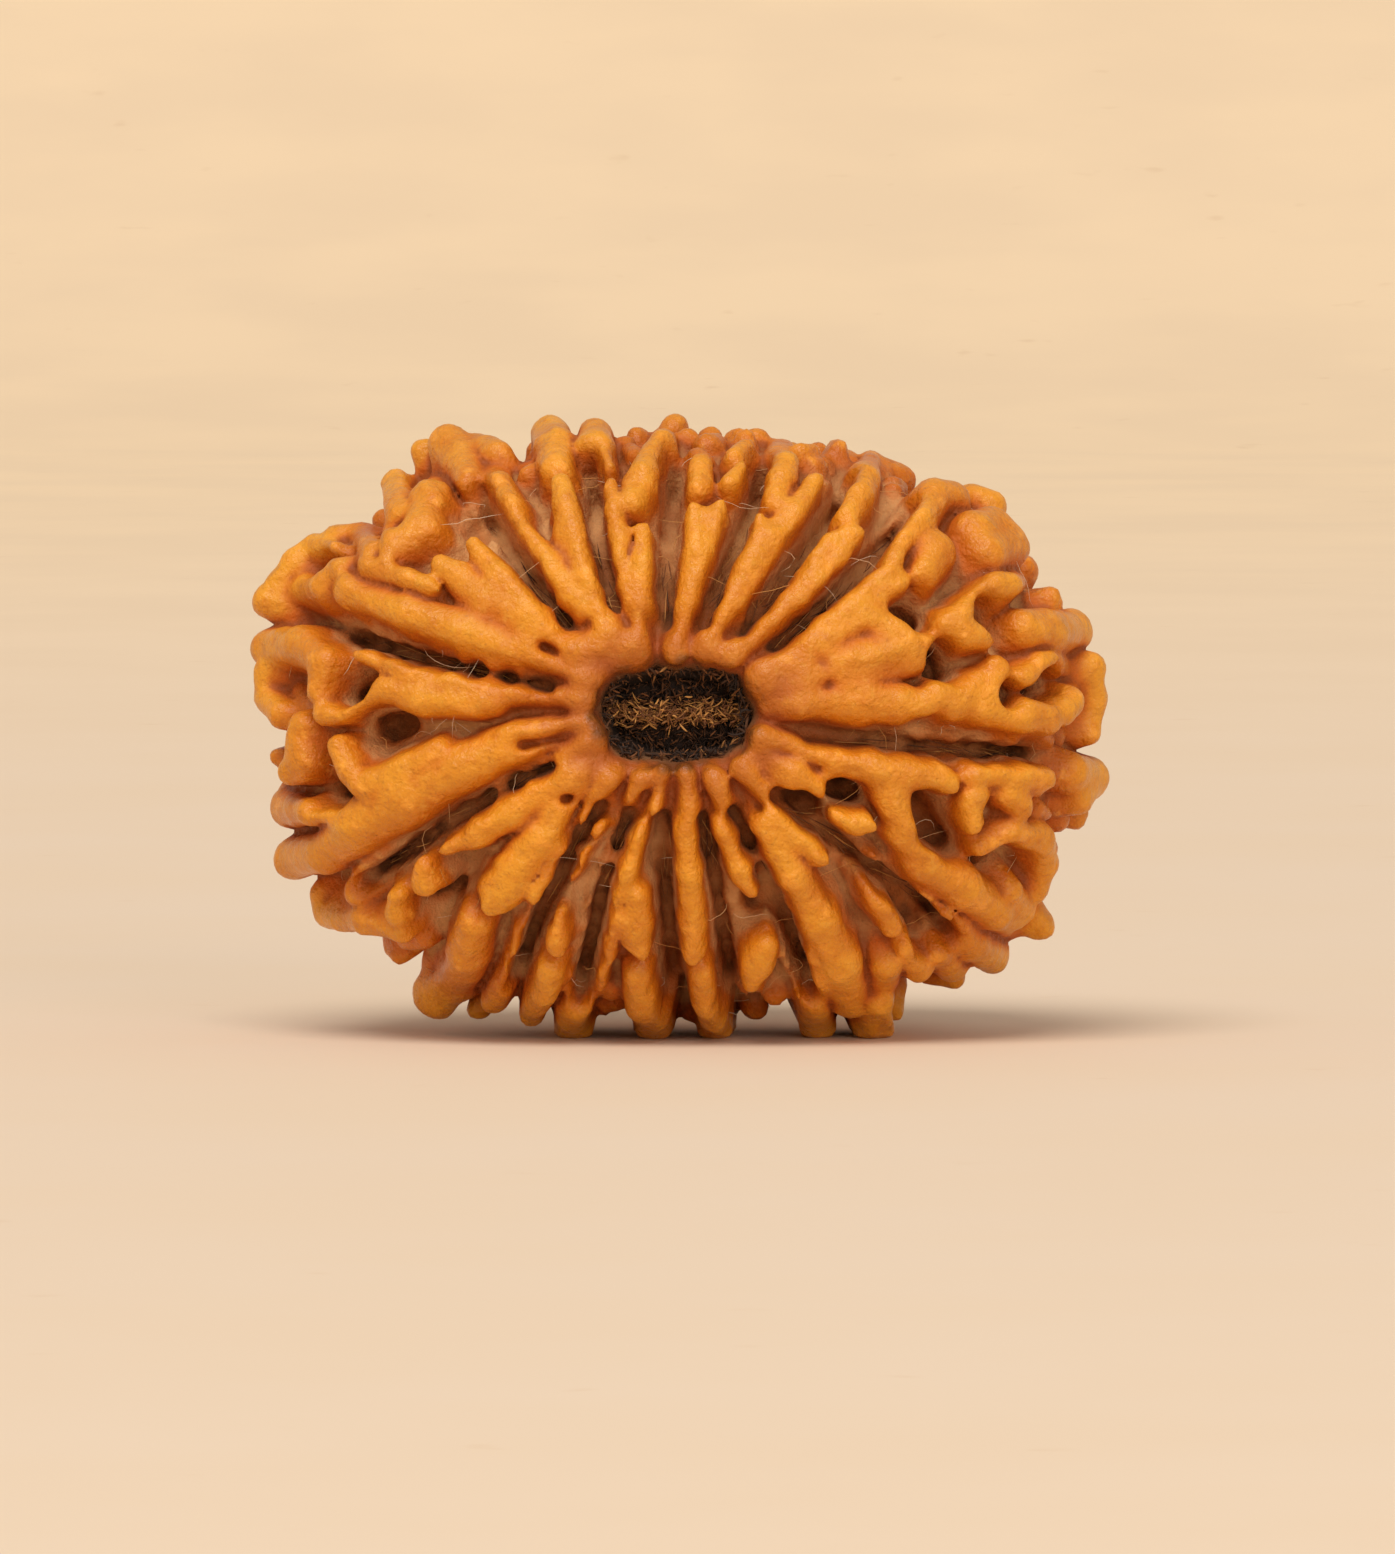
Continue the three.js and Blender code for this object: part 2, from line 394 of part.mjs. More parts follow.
// The back's ridges: each wanders a little along its own azimuth, and some are broken into knobs.
function backRidges() {
  const random = makeRandom(BACK.seed);
  const between = (low, high) => low + (high - low) * random();
  const starts = outlineLobes();
  const chains = [];
  GROOVES.forEach((groove, i) => {
    const next = GROOVES[(i + 1) % GROOVES.length];
    const turn = i + 1 === GROOVES.length ? 360 : 0;
    const width = next[1] + turn - groove[1];
    const count = Math.max(1, Math.round((toRadians(width) * CREST.z) / BACK.girthOfOne));
    const place = (share, latitude, radius, sink) => {
      const [low, high] = [grooveAzimuth(groove, latitude), grooveAzimuth(next, latitude) + turn];
      const wander = between(-BACK.wander, BACK.wander);
      return lobeBehind(low + (high - low) * (share + wander), latitude, radius, sink);
    };
    const stems = Array.from(
      { length: count },
      (_, k) => (k + 0.5 + between(-BACK.shift, BACK.shift)) / count,
    );
    const { fork, inner, outer } = BACK;
    const forks = stems.map((share) => place(share, fork.latitude, between(...fork.radius), fork.sink));
    stems.forEach((share, k) => {
      const inward = inner.latitudes.map((latitude) => {
        const room = (toRadians(width) * CREST.x * Math.cos(toRadians(latitude))) / count;
        const radius = THREE.MathUtils.lerp(...inner.radius, Math.min(1, room));
        return place(share, latitude, radius, between(...inner.sink));
      });
      chains.push([forks[k], ...inward]);
    });
    for (const { azimuth, start } of starts) {
      const share = ((((azimuth - groove[1]) % 360) + 360) % 360) / width;
      if (share > 1) continue;
      const stem = Math.min(count - 1, Math.floor(share * count));
      const outward = outer.latitudes.map((latitude, k) => {
        const lean = THREE.MathUtils.lerp(share, stems[stem], k / (outer.latitudes.length + 1));
        return place(lean, latitude, between(...outer.radius), between(...(k ? outer.sink : outer.first)));
      });
      if (random() < BACK.broken) {
        chains.push([start, outward[0]], [outward[1], outward[2], forks[stem]]);
      } else {
        chains.push([start, ...outward, forks[stem]]);
      }
    }
  });
  return chains;
}

// The collar: a low swelling all round the mouth, which the ridges of that side run into.
function collar(side) {
  const half = sunkCrest(COLLAR.radius + COLLAR.sink);
  const ring = Array.from({ length: COLLAR.steps + 1 }, (_, i) => {
    const turn = (2 * Math.PI * i) / COLLAR.steps;
    const centre = new THREE.Vector3(
      COLLAR.x * Math.cos(turn),
      side * half.y,
      poleHeight(side) + COLLAR.z * Math.sin(turn),
    );
    return { centre, radius: COLLAR.radius, normal: roundedSurface(centre, half).normal };
  });
  return ring;
}

// The grooves, cut from just under the valley floor outwards, from mouth to mouth. Round the girdle
// they are shallow: they cut only the floor, and the lobes there close over them.
function grooveCuts() {
  const under = {
    x: RIDGE_RISE.x + GROOVE.sink,
    y: RIDGE_RISE.y + GROOVE.sink,
    z: RIDGE_RISE.z + GROOVE.sink,
  };
  return GROOVES.map((groove) => {
    return Array.from({ length: GROOVE.steps }, (_, i) => {
      const latitude = GROOVE.last * ((2 * i) / (GROOVE.steps - 1) - 1);
      const fading = THREE.MathUtils.smoothstep(Math.abs(latitude), GROOVE.fadeFrom, GROOVE.last);
      const below = THREE.MathUtils.lerp(under.x, under.y, Math.abs(latitude) / 90);
      const sink = below - GROOVE.fade * fading;
      const place = lobeBehind(grooveAzimuth(groove, latitude), latitude, 0, sink);
      return { ...place, radius: GROOVE.radius, shallow: Math.abs(latitude) < GROOVE.girdle };
    });
  });
}

// A pit, cut from the valley floor outwards.
function pitCut(chain) {
  return chain.map((place) => {
    const crest = lobe(place);
    const sink = RIDGE_RISE.y + crest.radius;
    return { ...crest, centre: crest.centre.clone().addScaledVector(crest.normal, -sink) };
  });
}

// The end of a front ridge that starts beside the mouth, and hangs a little over its rim.
function overRim([first]) {
  const [x, z] = first;
  const level = mouthLevel(x, z);
  if (level > RIM.reach) return [];
  const start = lobe(first);
  const radius = start.radius * RIM.thinner;
  const share = RIM.end / level + radius / Math.hypot(x, z);
  const half = sunkCrest(radius);
  const centre = new THREE.Vector3(x * share, RIM.sink - half.y, z * share);
  return [wall({ centre, radius, normal: roundedSurface(centre, half).normal }, start)];
}

const ridgeWalls = [
  ...FRONT_RIDGES.map((chain) => chain.map(lobe)),
  ...backRidges(),
  collar(-1),
  collar(1),
].flatMap(wallsOf);
const rimWalls = FRONT_RIDGES.flatMap(overRim);
const cutWalls = [...grooveCuts(), ...PITS.map(pitCut)].flatMap(wallsOf);
const valley = {
  x: CREST.x - RIDGE_RISE.x,
  y: CREST.y - RIDGE_RISE.y,
  z: CREST.z - RIDGE_RISE.z,
};

// Signed distance to the mouth at a pole: a rounded slot cut in along y.
function mouthDistance(p) {
  const side = (mouthLevel(p.x, p.z - poleHeight(p.y)) - 1) * MOUTH.z;
  const end = CREST.y - RIDGE_RISE.y - MOUTH.depth - Math.abs(p.y);
  return Math.max(side, end);
}

// Signed distance to the whole stone, given the walls and cuts that come near the point.
function stoneDistance(p, ridges, rims, cuts) {
  let floor = roundedSurface(p, valley).distance;
  for (const cut of cuts) if (cut.shallow) floor = Math.max(floor, -wallDistance(p, cut, true));
  let sum = Math.exp(-floor / BLEND);
  for (const ridge of ridges) sum += Math.exp(-wallDistance(p, ridge, false) / BLEND);
  let distance = -BLEND * Math.log(sum);
  for (const cut of cuts) if (!cut.shallow) distance = Math.max(distance, -wallDistance(p, cut, true));
  distance = Math.max(distance, -mouthDistance(p));
  for (const end of rims) distance = Math.min(distance, wallDistance(p, end, false));
  return Math.max(distance, REST_Z - p.z);
}

// A distance at every corner of a grid from low to high, worked out block by block. fieldNear gives
// the distance function that holds within a reach of a block's middle.
function sampleGrid(low, high, step, fieldNear) {
  const count = high.clone().sub(low).divideScalar(step).ceil().toArray();
  const [nx, ny, nz] = count;
  const index = (i, j, k) => (k * ny + j) * nx + i;
  const values = new Float64Array(nx * ny * nz);
  const p = new THREE.Vector3();
  const corner = (i, j, k) => p.set(i, j, k).multiplyScalar(step).add(low);
  const half = GRID_BLOCK / 2;
  for (let k0 = 0; k0 < nz; k0 += GRID_BLOCK) {
    for (let j0 = 0; j0 < ny; j0 += GRID_BLOCK) {
      for (let i0 = 0; i0 < nx; i0 += GRID_BLOCK) {
        const middle = corner(i0 + half, j0 + half, k0 + half).clone();
        const distanceTo = fieldNear(middle, GRID_BLOCK * step);
        for (let k = k0; k < Math.min(k0 + GRID_BLOCK, nz); k++) {
          for (let j = j0; j < Math.min(j0 + GRID_BLOCK, ny); j++) {
            for (let i = i0; i < Math.min(i0 + GRID_BLOCK, nx); i++) {
              values[index(i, j, k)] = distanceTo(corner(i, j, k)) || TINY;
            }
          }
        }
      }
    }
  }
  return { low, step, count, index, values };
}

// Each grid cell is six tetrahedra round its long diagonal, so the skin always closes.
const TETRAHEDRA = [[1, 3], [3, 2], [2, 6], [6, 4], [4, 5], [5, 1]];

// The skin where the distance changes sign, as points and triangles that face outwards.
function marchTetrahedra({ low, step, count, index, values }) {
  const [nx, ny, nz] = count;
  const points = [];
  const faces = [];
  const made = new Map();
  const place = (id) =>
    new THREE.Vector3(id % nx, Math.floor(id / nx) % ny, Math.floor(id / (nx * ny)));
  // The point where the edge from an inner to an outer corner meets the skin, made once.
  const crossing = (inner, outer) => {
    const key = Math.min(inner, outer) * values.length + Math.max(inner, outer);
    if (!made.has(key)) {
      const share = values[inner] / (values[inner] - values[outer]);
      const held = THREE.MathUtils.clamp(share, OFF_CORNER, 1 - OFF_CORNER);
      const point = place(inner).lerp(place(outer), held);
      made.set(key, points.push(point.multiplyScalar(step).add(low)) - 1);
    }
    return made.get(key);
  };
  const side = new THREE.Vector3();
  const other = new THREE.Vector3();
  // A triangle, turned to face away from an inner corner.
  const addFace = (a, b, c, inner) => {
    side.subVectors(points[b], points[a]);
    other.subVectors(points[c], points[a]);
    const towards = place(inner).multiplyScalar(step).add(low).sub(points[a]);
    faces.push(side.cross(other).dot(towards) < 0 ? [a, b, c] : [a, c, b]);
  };
  for (let k = 0; k + 1 < nz; k++) {
    for (let j = 0; j + 1 < ny; j++) {
      for (let i = 0; i + 1 < nx; i++) {
        const corner = (n) => index(i + (n & 1), j + ((n >> 1) & 1), k + ((n >> 2) & 1));
        for (const [m, n] of TETRAHEDRA) {
          const four = [corner(0), corner(m), corner(n), corner(7)];
          const inner = four.filter((id) => values[id] < 0);
          const outer = four.filter((id) => values[id] >= 0);
          if (inner.length === 1) {
            addFace(...outer.map((id) => crossing(inner[0], id)), inner[0]);
          } else if (inner.length === 3) {
            addFace(...inner.map((id) => crossing(id, outer[0])), inner[0]);
          } else if (inner.length === 2) {
            const [a, b] = outer.map((id) => crossing(inner[0], id));
            const [c, d] = outer.map((id) => crossing(inner[1], id));
            addFace(a, b, c, inner[0]);
            addFace(b, d, c, inner[0]);
          }
        }
      }
    }
  }
  return { points, faces };
}

// A heap of edges, cheapest first.
class EdgeHeap {
  constructor() {
    this.items = [];
  }
  push(item) {
    const { items } = this;
    let at = items.push(item) - 1;
    while (at > 0) {
      const parent = (at - 1) >> 1;
      if (items[parent].cost <= items[at].cost) break;
      [items[parent], items[at]] = [items[at], items[parent]];
      at = parent;
    }
  }
  pop() {
    const { items } = this;
    const top = items[0];
    const last = items.pop();
    if (!items.length) return top;
    items[0] = last;
    for (let at = 0; ; ) {
      let least = at;
      for (const child of [2 * at + 1, 2 * at + 2]) {
        if (child < items.length && items[child].cost < items[least].cost) least = child;
      }
      if (least === at) return top;
      [items[least], items[at]] = [items[at], items[least]];
      at = least;
    }
  }
}

// The squared distance to a set of planes, as the ten numbers of a symmetric matrix.
function planeQuadric(normal, offsetFromOrigin, weight) {
  const n = [normal.x, normal.y, normal.z, offsetFromOrigin];
  const quadric = [];
  for (let i = 0; i < 4; i++) {
    for (let j = i; j < 4; j++) quadric.push(weight * n[i] * n[j]);
  }
  return quadric;
}

function quadricError(q, { x, y, z }) {
  return (
    q[0] * x * x + 2 * q[1] * x * y + 2 * q[2] * x * z + 2 * q[3] * x + q[4] * y * y +
    2 * q[5] * y * z + 2 * q[6] * y + q[7] * z * z + 2 * q[8] * z + q[9]
  );
}

// The point with the least error, or the best of the edge's ends and middle.
function bestPoint(q, a, b) {
  const matrix = new THREE.Matrix3().set(q[0], q[1], q[2], q[1], q[4], q[5], q[2], q[5], q[7]);
  const middle = a.clone().add(b).multiplyScalar(0.5);
  const choices = [a, b, middle];
  if (Math.abs(matrix.determinant()) > SINGULAR) {
    const solved = new THREE.Vector3(-q[3], -q[6], -q[8]).applyMatrix3(matrix.invert());
    if (solved.distanceTo(middle) < a.distanceTo(b)) choices.push(solved);
  }
  const errors = choices.map((point) => quadricError(q, point));
  const least = errors.indexOf(Math.min(...errors));
  return { point: choices[least].clone(), cost: Math.max(errors[least], 0) };
}

// Collapses the edges that change the shape least until the wanted number of faces is left.
function thin({ points, faces }, { triangles }) {
  const quadrics = points.map(() => new Array(10).fill(0));
  const around = points.map(() => new Set());
  const age = new Int32Array(points.length);
  const normalOf = (face, replaced, point) => {
    const [a, b, c] = face.map((v) => (replaced?.includes(v) ? point : points[v]));
    return new THREE.Vector3().subVectors(b, a).cross(new THREE.Vector3().subVectors(c, a));
  };
  faces.forEach((face, f) => {
    const normal = normalOf(face);
    const area = normal.length();
    normal.divideScalar(area || 1);
    const quadric = planeQuadric(normal, -normal.dot(points[face[0]]), area);
    for (const v of face) {
      around[v].add(f);
      quadric.forEach((value, i) => (quadrics[v][i] += value));
    }
  });
  const heap = new EdgeHeap();
  const propose = (a, b) => {
    const sum = quadrics[a].map((value, i) => value + quadrics[b][i]);
    const { point, cost } = bestPoint(sum, points[a], points[b]);
    heap.push({ a, b, point, cost, age: age[a] + age[b] });
  };
  const neighbours = (v) => new Set([...around[v]].flatMap((f) => faces[f]).filter((n) => n !== v));
  points.forEach((_, v) => neighbours(v).forEach((n) => v < n && propose(v, n)));
  let left = faces.length;
  while (left > triangles && heap.items.length) {
    const { a, b, point, age: seen } = heap.pop();
    if (seen !== age[a] + age[b] || !around[a].size || !around[b].size) continue;
    const nextToBoth = [...neighbours(a)].filter((n) => neighbours(b).has(n));
    const gone = [...around[a]].filter((f) => around[b].has(f));
    if (nextToBoth.length !== 2 || gone.length !== 2) continue;
    const kept = [...new Set([...around[a], ...around[b]])].filter((f) => !gone.includes(f));
    const folds = kept.some((f) => {
      const [before, after] = [normalOf(faces[f]), normalOf(faces[f], [a, b], point)];
      return before.dot(after) < MOST_TURN * before.length() * after.length() + TINY;
    });
    if (folds) continue;
    points[a] = point;
    quadrics[a] = quadrics[a].map((value, i) => value + quadrics[b][i]);
    gone.forEach((f) => faces[f].forEach((v) => around[v].delete(f)));
    around[b].forEach((f) => {
      faces[f] = faces[f].map((v) => (v === b ? a : v));
      around[a].add(f);
    });
    around[b] = new Set();
    left -= 2;
    age[a] += points.length;
    neighbours(a).forEach((n) => propose(a, n));
  }
  const used = [...new Set([...around.keys()].filter((v) => around[v].size))];
  const renumbered = new Map(used.map((v, i) => [v, i]));
  const live = [...new Set(used.flatMap((v) => [...around[v]]))];
  return {
    points: used.map((v) => points[v]),
    faces: live.flatMap((f) => faces[f].map((v) => renumbered.get(v))),
  };
}

// The thinned skin of a field between two corners, as one closed body.
function solidOf(low, high, mesh, fieldNear) {
  const { points, faces } = thin(marchTetrahedra(sampleGrid(low, high, mesh.step, fieldNear)), mesh);
  for (const point of points) if (point.z < REST_Z + SNAP) point.z = REST_Z;
  const skin = new THREE.BufferGeometry().setFromPoints(points).setIndex(faces);
  return toGeometry(outerBody(toSolid(skin)));
}

function stoneGeometry() {
  const reach = new THREE.Vector3(CREST.x, CREST.y, CREST.z).addScalar(STONE_MESH.margin);
  const [low, high] = [CENTRE.clone().sub(reach), CENTRE.clone().add(reach)];
  return solidOf(low, high, STONE_MESH, (middle, blockReach) => {
    const near = (item) => item.middle.distanceTo(middle) < item.bound + blockReach;
    const [ridges, rims, cuts] = [ridgeWalls, rimWalls, cutWalls].map((walls) => walls.filter(near));
    return (p) => stoneDistance(p, ridges, rims, cuts);
  });
}

const wasm = await Module();
wasm.setup();

function toSolid(geometry) {
  const bare = geometry.clone();
  bare.deleteAttribute("normal");
  bare.deleteAttribute("uv");
  const merged = mergeVertices(bare, WELD);
  return new wasm.Manifold(
    new wasm.Mesh({
      numProp: 3,
      vertProperties: merged.attributes.position.array,
      triVerts: new Uint32Array(merged.index.array),
    }),
  );
}

function toGeometry(solid) {
  const { vertProperties, triVerts } = solid.getMesh();
  return new THREE.BufferGeometry()
    .setAttribute("position", new THREE.BufferAttribute(vertProperties, 3))
    .setIndex(new THREE.BufferAttribute(triVerts, 1));
}

// The outer skin of a fused solid, without the small hollows that fusing seals.
function outerBody(solid) {
  return solid.decompose().reduce((best, body) => (body.volume() > best.volume() ? body : best));
}

// The dried fibre in a mouth: a matted pad with stiff strands lying across it, mostly sideways.
function fibrePlug(seed, side) {
  const random = makeRandom(seed);
  const between = (low, high) => low + (high - low) * random();
  const depth = CREST.y - RIDGE_RISE.y - PLUG.recess - PLUG.thick;
  const middle = new THREE.Vector3(0, side * depth, poleHeight(side));
  const half = new THREE.Vector3(PLUG.x, PLUG.thick, PLUG.z);
  const strands = Array.from({ length: PLUG.fibres }, () => {
    const { spreadX, spreadZ } = FIBRE;
    const across = new THREE.Vector3(between(-spreadX, spreadX), 0, between(-spreadZ, spreadZ));
    across.y = side * Math.sqrt(1 - across.lengthSq());
    const [lean, turn] = [between(-FIBRE.lean, FIBRE.lean), between(-FIBRE.turn, FIBRE.turn)];
    const run = new THREE.Vector3(Math.cos(lean), Math.sin(lean), Math.sin(turn));
    const centre = across.multiply(half).add(middle);
    const from = centre.clone().addScaledVector(run, -FIBRE.length / 2);
    return { from, run: run.multiplyScalar(FIBRE.length) };
  });
  const distanceTo = (p) => {
    const inPad = p.clone().sub(middle).divide(half);
    let distance = (inPad.length() - 1) * PLUG.thick;
    for (const { from, run } of strands) {
      offset.subVectors(p, from);
      const share = THREE.MathUtils.clamp(offset.dot(run) / run.lengthSq(), 0, 1);
      distance = Math.min(distance, offset.addScaledVector(run, -share).length() - FIBRE.radius);
    }
    return distance;
  };
  const reach = half.clone().addScalar(PLUG_MESH.margin);
  return solidOf(middle.clone().sub(reach), middle.clone().add(reach), PLUG_MESH, () => distanceTo);
}

function matte(colour, roughness) {
  return new THREE.MeshStandardMaterial({ color: colour, roughness, metalness: 0 });
}

const bead = new THREE.Group();
bead.name = "rudraksha_bead";

const stone = new THREE.Mesh(stoneGeometry(), matte(0xb8691f, 0.6));
stone.name = "stone";
bead.add(stone);

[["fibre_plug_front", -1], ["fibre_plug_back", 1]].forEach(([name, side], i) => {
  const plug = new THREE.Mesh(fibrePlug(PLUG.seeds[i], side), matte(0x5c3a1c, 0.9));
  plug.name = name;
  bead.add(plug);
});

bead.position.set(-BOX_MIDDLE.x, -BOX_MIDDLE.y, -REST_Z);

export default bead;
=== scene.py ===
"""A fifteen mukhi rudraksha bead: the surface, fibres, materials, light and camera.

The shapes are worked out in millimetres in a frame whose origin is the front mouth's centre,
with +Z up and -Y towards the viewer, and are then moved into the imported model's frame.
"""
import math

import bpy
import numpy as np
import openvdb
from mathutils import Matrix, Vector


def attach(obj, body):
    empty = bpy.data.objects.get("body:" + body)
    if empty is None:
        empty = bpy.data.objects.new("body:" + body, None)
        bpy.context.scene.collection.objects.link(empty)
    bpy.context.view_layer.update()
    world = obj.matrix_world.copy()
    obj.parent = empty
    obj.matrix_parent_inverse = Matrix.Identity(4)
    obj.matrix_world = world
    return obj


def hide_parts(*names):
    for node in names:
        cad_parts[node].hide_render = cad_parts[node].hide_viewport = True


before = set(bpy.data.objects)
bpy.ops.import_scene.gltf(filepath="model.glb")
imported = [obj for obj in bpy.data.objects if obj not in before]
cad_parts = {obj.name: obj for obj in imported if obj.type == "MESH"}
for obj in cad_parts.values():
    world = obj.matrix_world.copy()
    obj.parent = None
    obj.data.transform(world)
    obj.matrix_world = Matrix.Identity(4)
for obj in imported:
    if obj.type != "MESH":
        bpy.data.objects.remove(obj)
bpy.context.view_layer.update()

MM = 0.001

# The rounded surface that the ridge crests touch, and the valley floor inside it.
CENTRE = np.array([0.2, 0.0, -0.85])
CREST = np.array([15.15, 9.4, 11.3])
RIDGE_RISE = np.array([2.5, 1.8, 2.3])
OUTLINE_POWER = 2.35
PROFILE_POWER = 2.5
REST_Z = -12.1
BOX_MIDDLE_X = 0.15
VIEW_TILT = 0.052
SETTLING_ROUNDS = 4
BACK_MOUTH_Z = -1.3

# Ridges, the mouths with their collars, and the grooves.
WALL_DEPTH = 2.4
# Shares of the tables' radii: ridges are slimmer beside the mouth, where they crowd together.
FULLNESS = {"near": 0.76, "far": 1.22, "from": 1.1, "to": 2.4}
FLARE = {"ridge": 0.2, "knob": 0.4, "cut": 0.1, "crease": 0.35}
# Pointed tips on the front's ridges, in shares of the last lobe's radius.
TIP = {"reach": 1.1, "radius": 0.4, "inside": 0.8}
# Creases between the ridges that crowd round a mouth.
CREASE = {"reach": 2.1, "from": 0.9, "to": 2.1, "apart": 0.1, "root": 0.85, "radius": 0.04}
# Low knobs in the wide valleys of the sides and back, clear of the ridges and the grooves.
KNOBS = {"seed": 42, "tries": 6000, "latitudes": [-30, 62], "length": [1, 7], "lean": 1.5,
         "radius": [0.34, 0.62], "taper": [0.55, 0.95], "sink": [0.2, 1.0], "clear": -0.05,
         "groove_clear": 0.2, "above_rest": 1.5}
MOUTH = {"x": 2.65, "z": 1.7, "power": 3.0, "depth": 2.6}
MOUTH_FLOOR = CREST[1] - RIDGE_RISE[1] - MOUTH["depth"]
COLLAR = {"x": 3.7, "z": 2.8, "radius": 0.95, "sink": 1.5, "steps": 14}
RIM = {"reach": 1.9, "end": 1.12, "sink": 0.45, "thinner": 0.9}
GROOVE = {"radius": 0.12, "girdle": 24, "sink": 0.15, "last": 75, "steps": 24,
          "fade": 0.75, "fade_from": 55, "settle": 1.15}
BACK = {
    "seed": 15,
    "outline": 0.86,
    "outer": {"latitudes": [12, 24, 35], "radius": [0.45, 0.62], "first": [0.3, 0.6],
              "sink": [0, 0.3]},
    "fork": {"latitude": 46, "radius": [0.6, 0.75], "sink": 0.1},
    "inner": {"latitudes": [57, 68, 77], "radius": [0.3, 0.75], "sink": [0, 0.15]},
    "girth_of_one": 4.25,
    "shift": 0.1,
    "wander": 0.06,
    "broken": 0.35,
}

# The surface mesh: the grid it is drawn on, how far round a wall the blend reaches, and the
# most triangles it keeps.
STEP = 0.17
MOST_TRIANGLES = 196000
MARGIN = 1.0
REACH = 0.9
DEEPEST = -2.5
BLEND = 0.085
ROUNDING = {"cut": 0.2, "crease": 0.12, "mouth": 0.1, "rim": 0.15}
# Roughness of each part of the skin: the size, height and seed of its lumps.
LUMPS = {
    "valley": [1.1, 0.3, 3], "fine_valley": [0.5, 0.18, 12],
    "broad": [3.1, 0.12, 4], "middle": [1.3, 0.06, 5], "fine": [0.55, 0.035, 6],
    "cut": [1.4, 0.07, 7], "fine_cut": [0.6, 0.07, 8],
    "mouth": [0.9, 0.4, 9], "fine_mouth": [0.45, 0.2, 11],
}
# Fine folds from mouth to mouth: how far apart, how long, how high, and the seed. They wander
# in waves, and fade out towards the poles.
FOLDS = {"valley": [0.8, 2.0, 0.2, 13], "skin": [0.55, 3.0, 0.08, 10]}
FOLD_WAVES = {"ring": [1.2, 0.9], "slant": [0.8, 0.7, 1.1]}
FOLD_FREE = [3, 4]

# What the stone's colours follow. Hollows and creases, where shade is painted, are told by the
# share of stone within so many cells.
CAVITY_CELLS = 4
CREVICE_CELLS = 2
LEAST_RISE = 0.1
DIRT = {"above": 0.35, "fade": 0.7}
CLEAN = {"mouth": [2.6, 1.2], "side": [9, -3], "top": 4, "least": 0.35, "gain": 0.32}
# Painted shade down each mouth's wall: the depth where it starts and how soon it is full, how far
# out it spreads, and the least depth it needs.
THROAT = {"depth": [8.35, -0.7], "within": 1.35, "nearest": 3}
GIRDLE = {"depth": 5, "far": 9}

# Dried fibre. Lengths, widths and heights are in millimetres, and pairs are the least and most.
FIBRE_FLOOR = MOUTH_FLOOR + 1.1
STRAND = {"sides": 4, "taper": 0.75, "across": [0.31, 0.52, 0.79]}
CHIPS = {"x": 2.7, "z": 1.65, "spread": 0.22, "root": 0.35, "edge_x": 2.8, "edge_z": 1.8,
         "flatter": [0.3, 0.7], "length": [0.12, 0.5], "bend": 0.3, "tip": 0.35,
         "width": [0.015, 0.045]}
CHIP_KINDS = {
    "band": {"count": 900, "rise": [0.6, 1.5], "lean": 0.9, "shade": [0.35, 1]},
    "dark": {"count": 1000, "rise": [0.6, 0.8], "lean": 1.3, "shade": [0, 0.5]},
}
WALL_STRANDS = {"count": 900, "level": [0.86, 1.0], "reach": [0.1, 0.35], "way": [1, 0.6, 1],
                "height": [0.4, 2.2], "bend": 0.25, "width": [0.02, 0.06],
                "dark_share": 0.85, "dark": [0, 0.45], "pale": [0.4, 0.8]}
GROOVE_STRANDS = {"seed": 21, "tries": 70, "mouth": [2.4, 3.6], "side": [6, 9],
                  "length": [0.5, 1.6], "sway": 0.2, "height": [-0.15, 0.25], "bend": 0.08,
                  "width": [0.012, 0.025], "shade": [0.2, 0.95], "points": 6}
LINT = {"seed": 22, "count": 420, "latitude": 72, "length": [3, 13], "sink": [0.7, 1.6],
        "bend": 0.8, "least_round": 0.3, "drift": 0.08, "width": [0.008, 0.013],
        "shade": [0.9, 1.6], "points": 7}
BED = {"turns": 48, "rings": 12, "wider": 0.1, "corner": 0.7, "height": 1.3, "bulge": 0.6,
       "lumps": 0.22, "under": 0.3, "narrower": 0.98, "shade": 0.25}

# The floor, in metres: level near the bead, and rising gently all round far out.
FLOOR = {"level": [0.13, 0.26, 0.39, 0.52, 0.65], "end": 1.2, "stride": 0.05, "steepen": 0.1,
         "steepest": 0.35, "turns": 96, "tones": [0.05, 0.6]}

# The camera, in metres: what it looks at, from how far, and how wide its view is there.
TARGET = Vector((0.00065, -0.00952, 0.00989))
DISTANCE = 0.6
VIEW_WIDTH = 0.0555
ELEVATION = math.radians(3)
SENSOR_MM = 36
CLIP_END = 5

# Tables are read as [x, z, radius] in a view from the front that looks down a little. A fourth
# number gives y, where a lobe stands near the girdle.

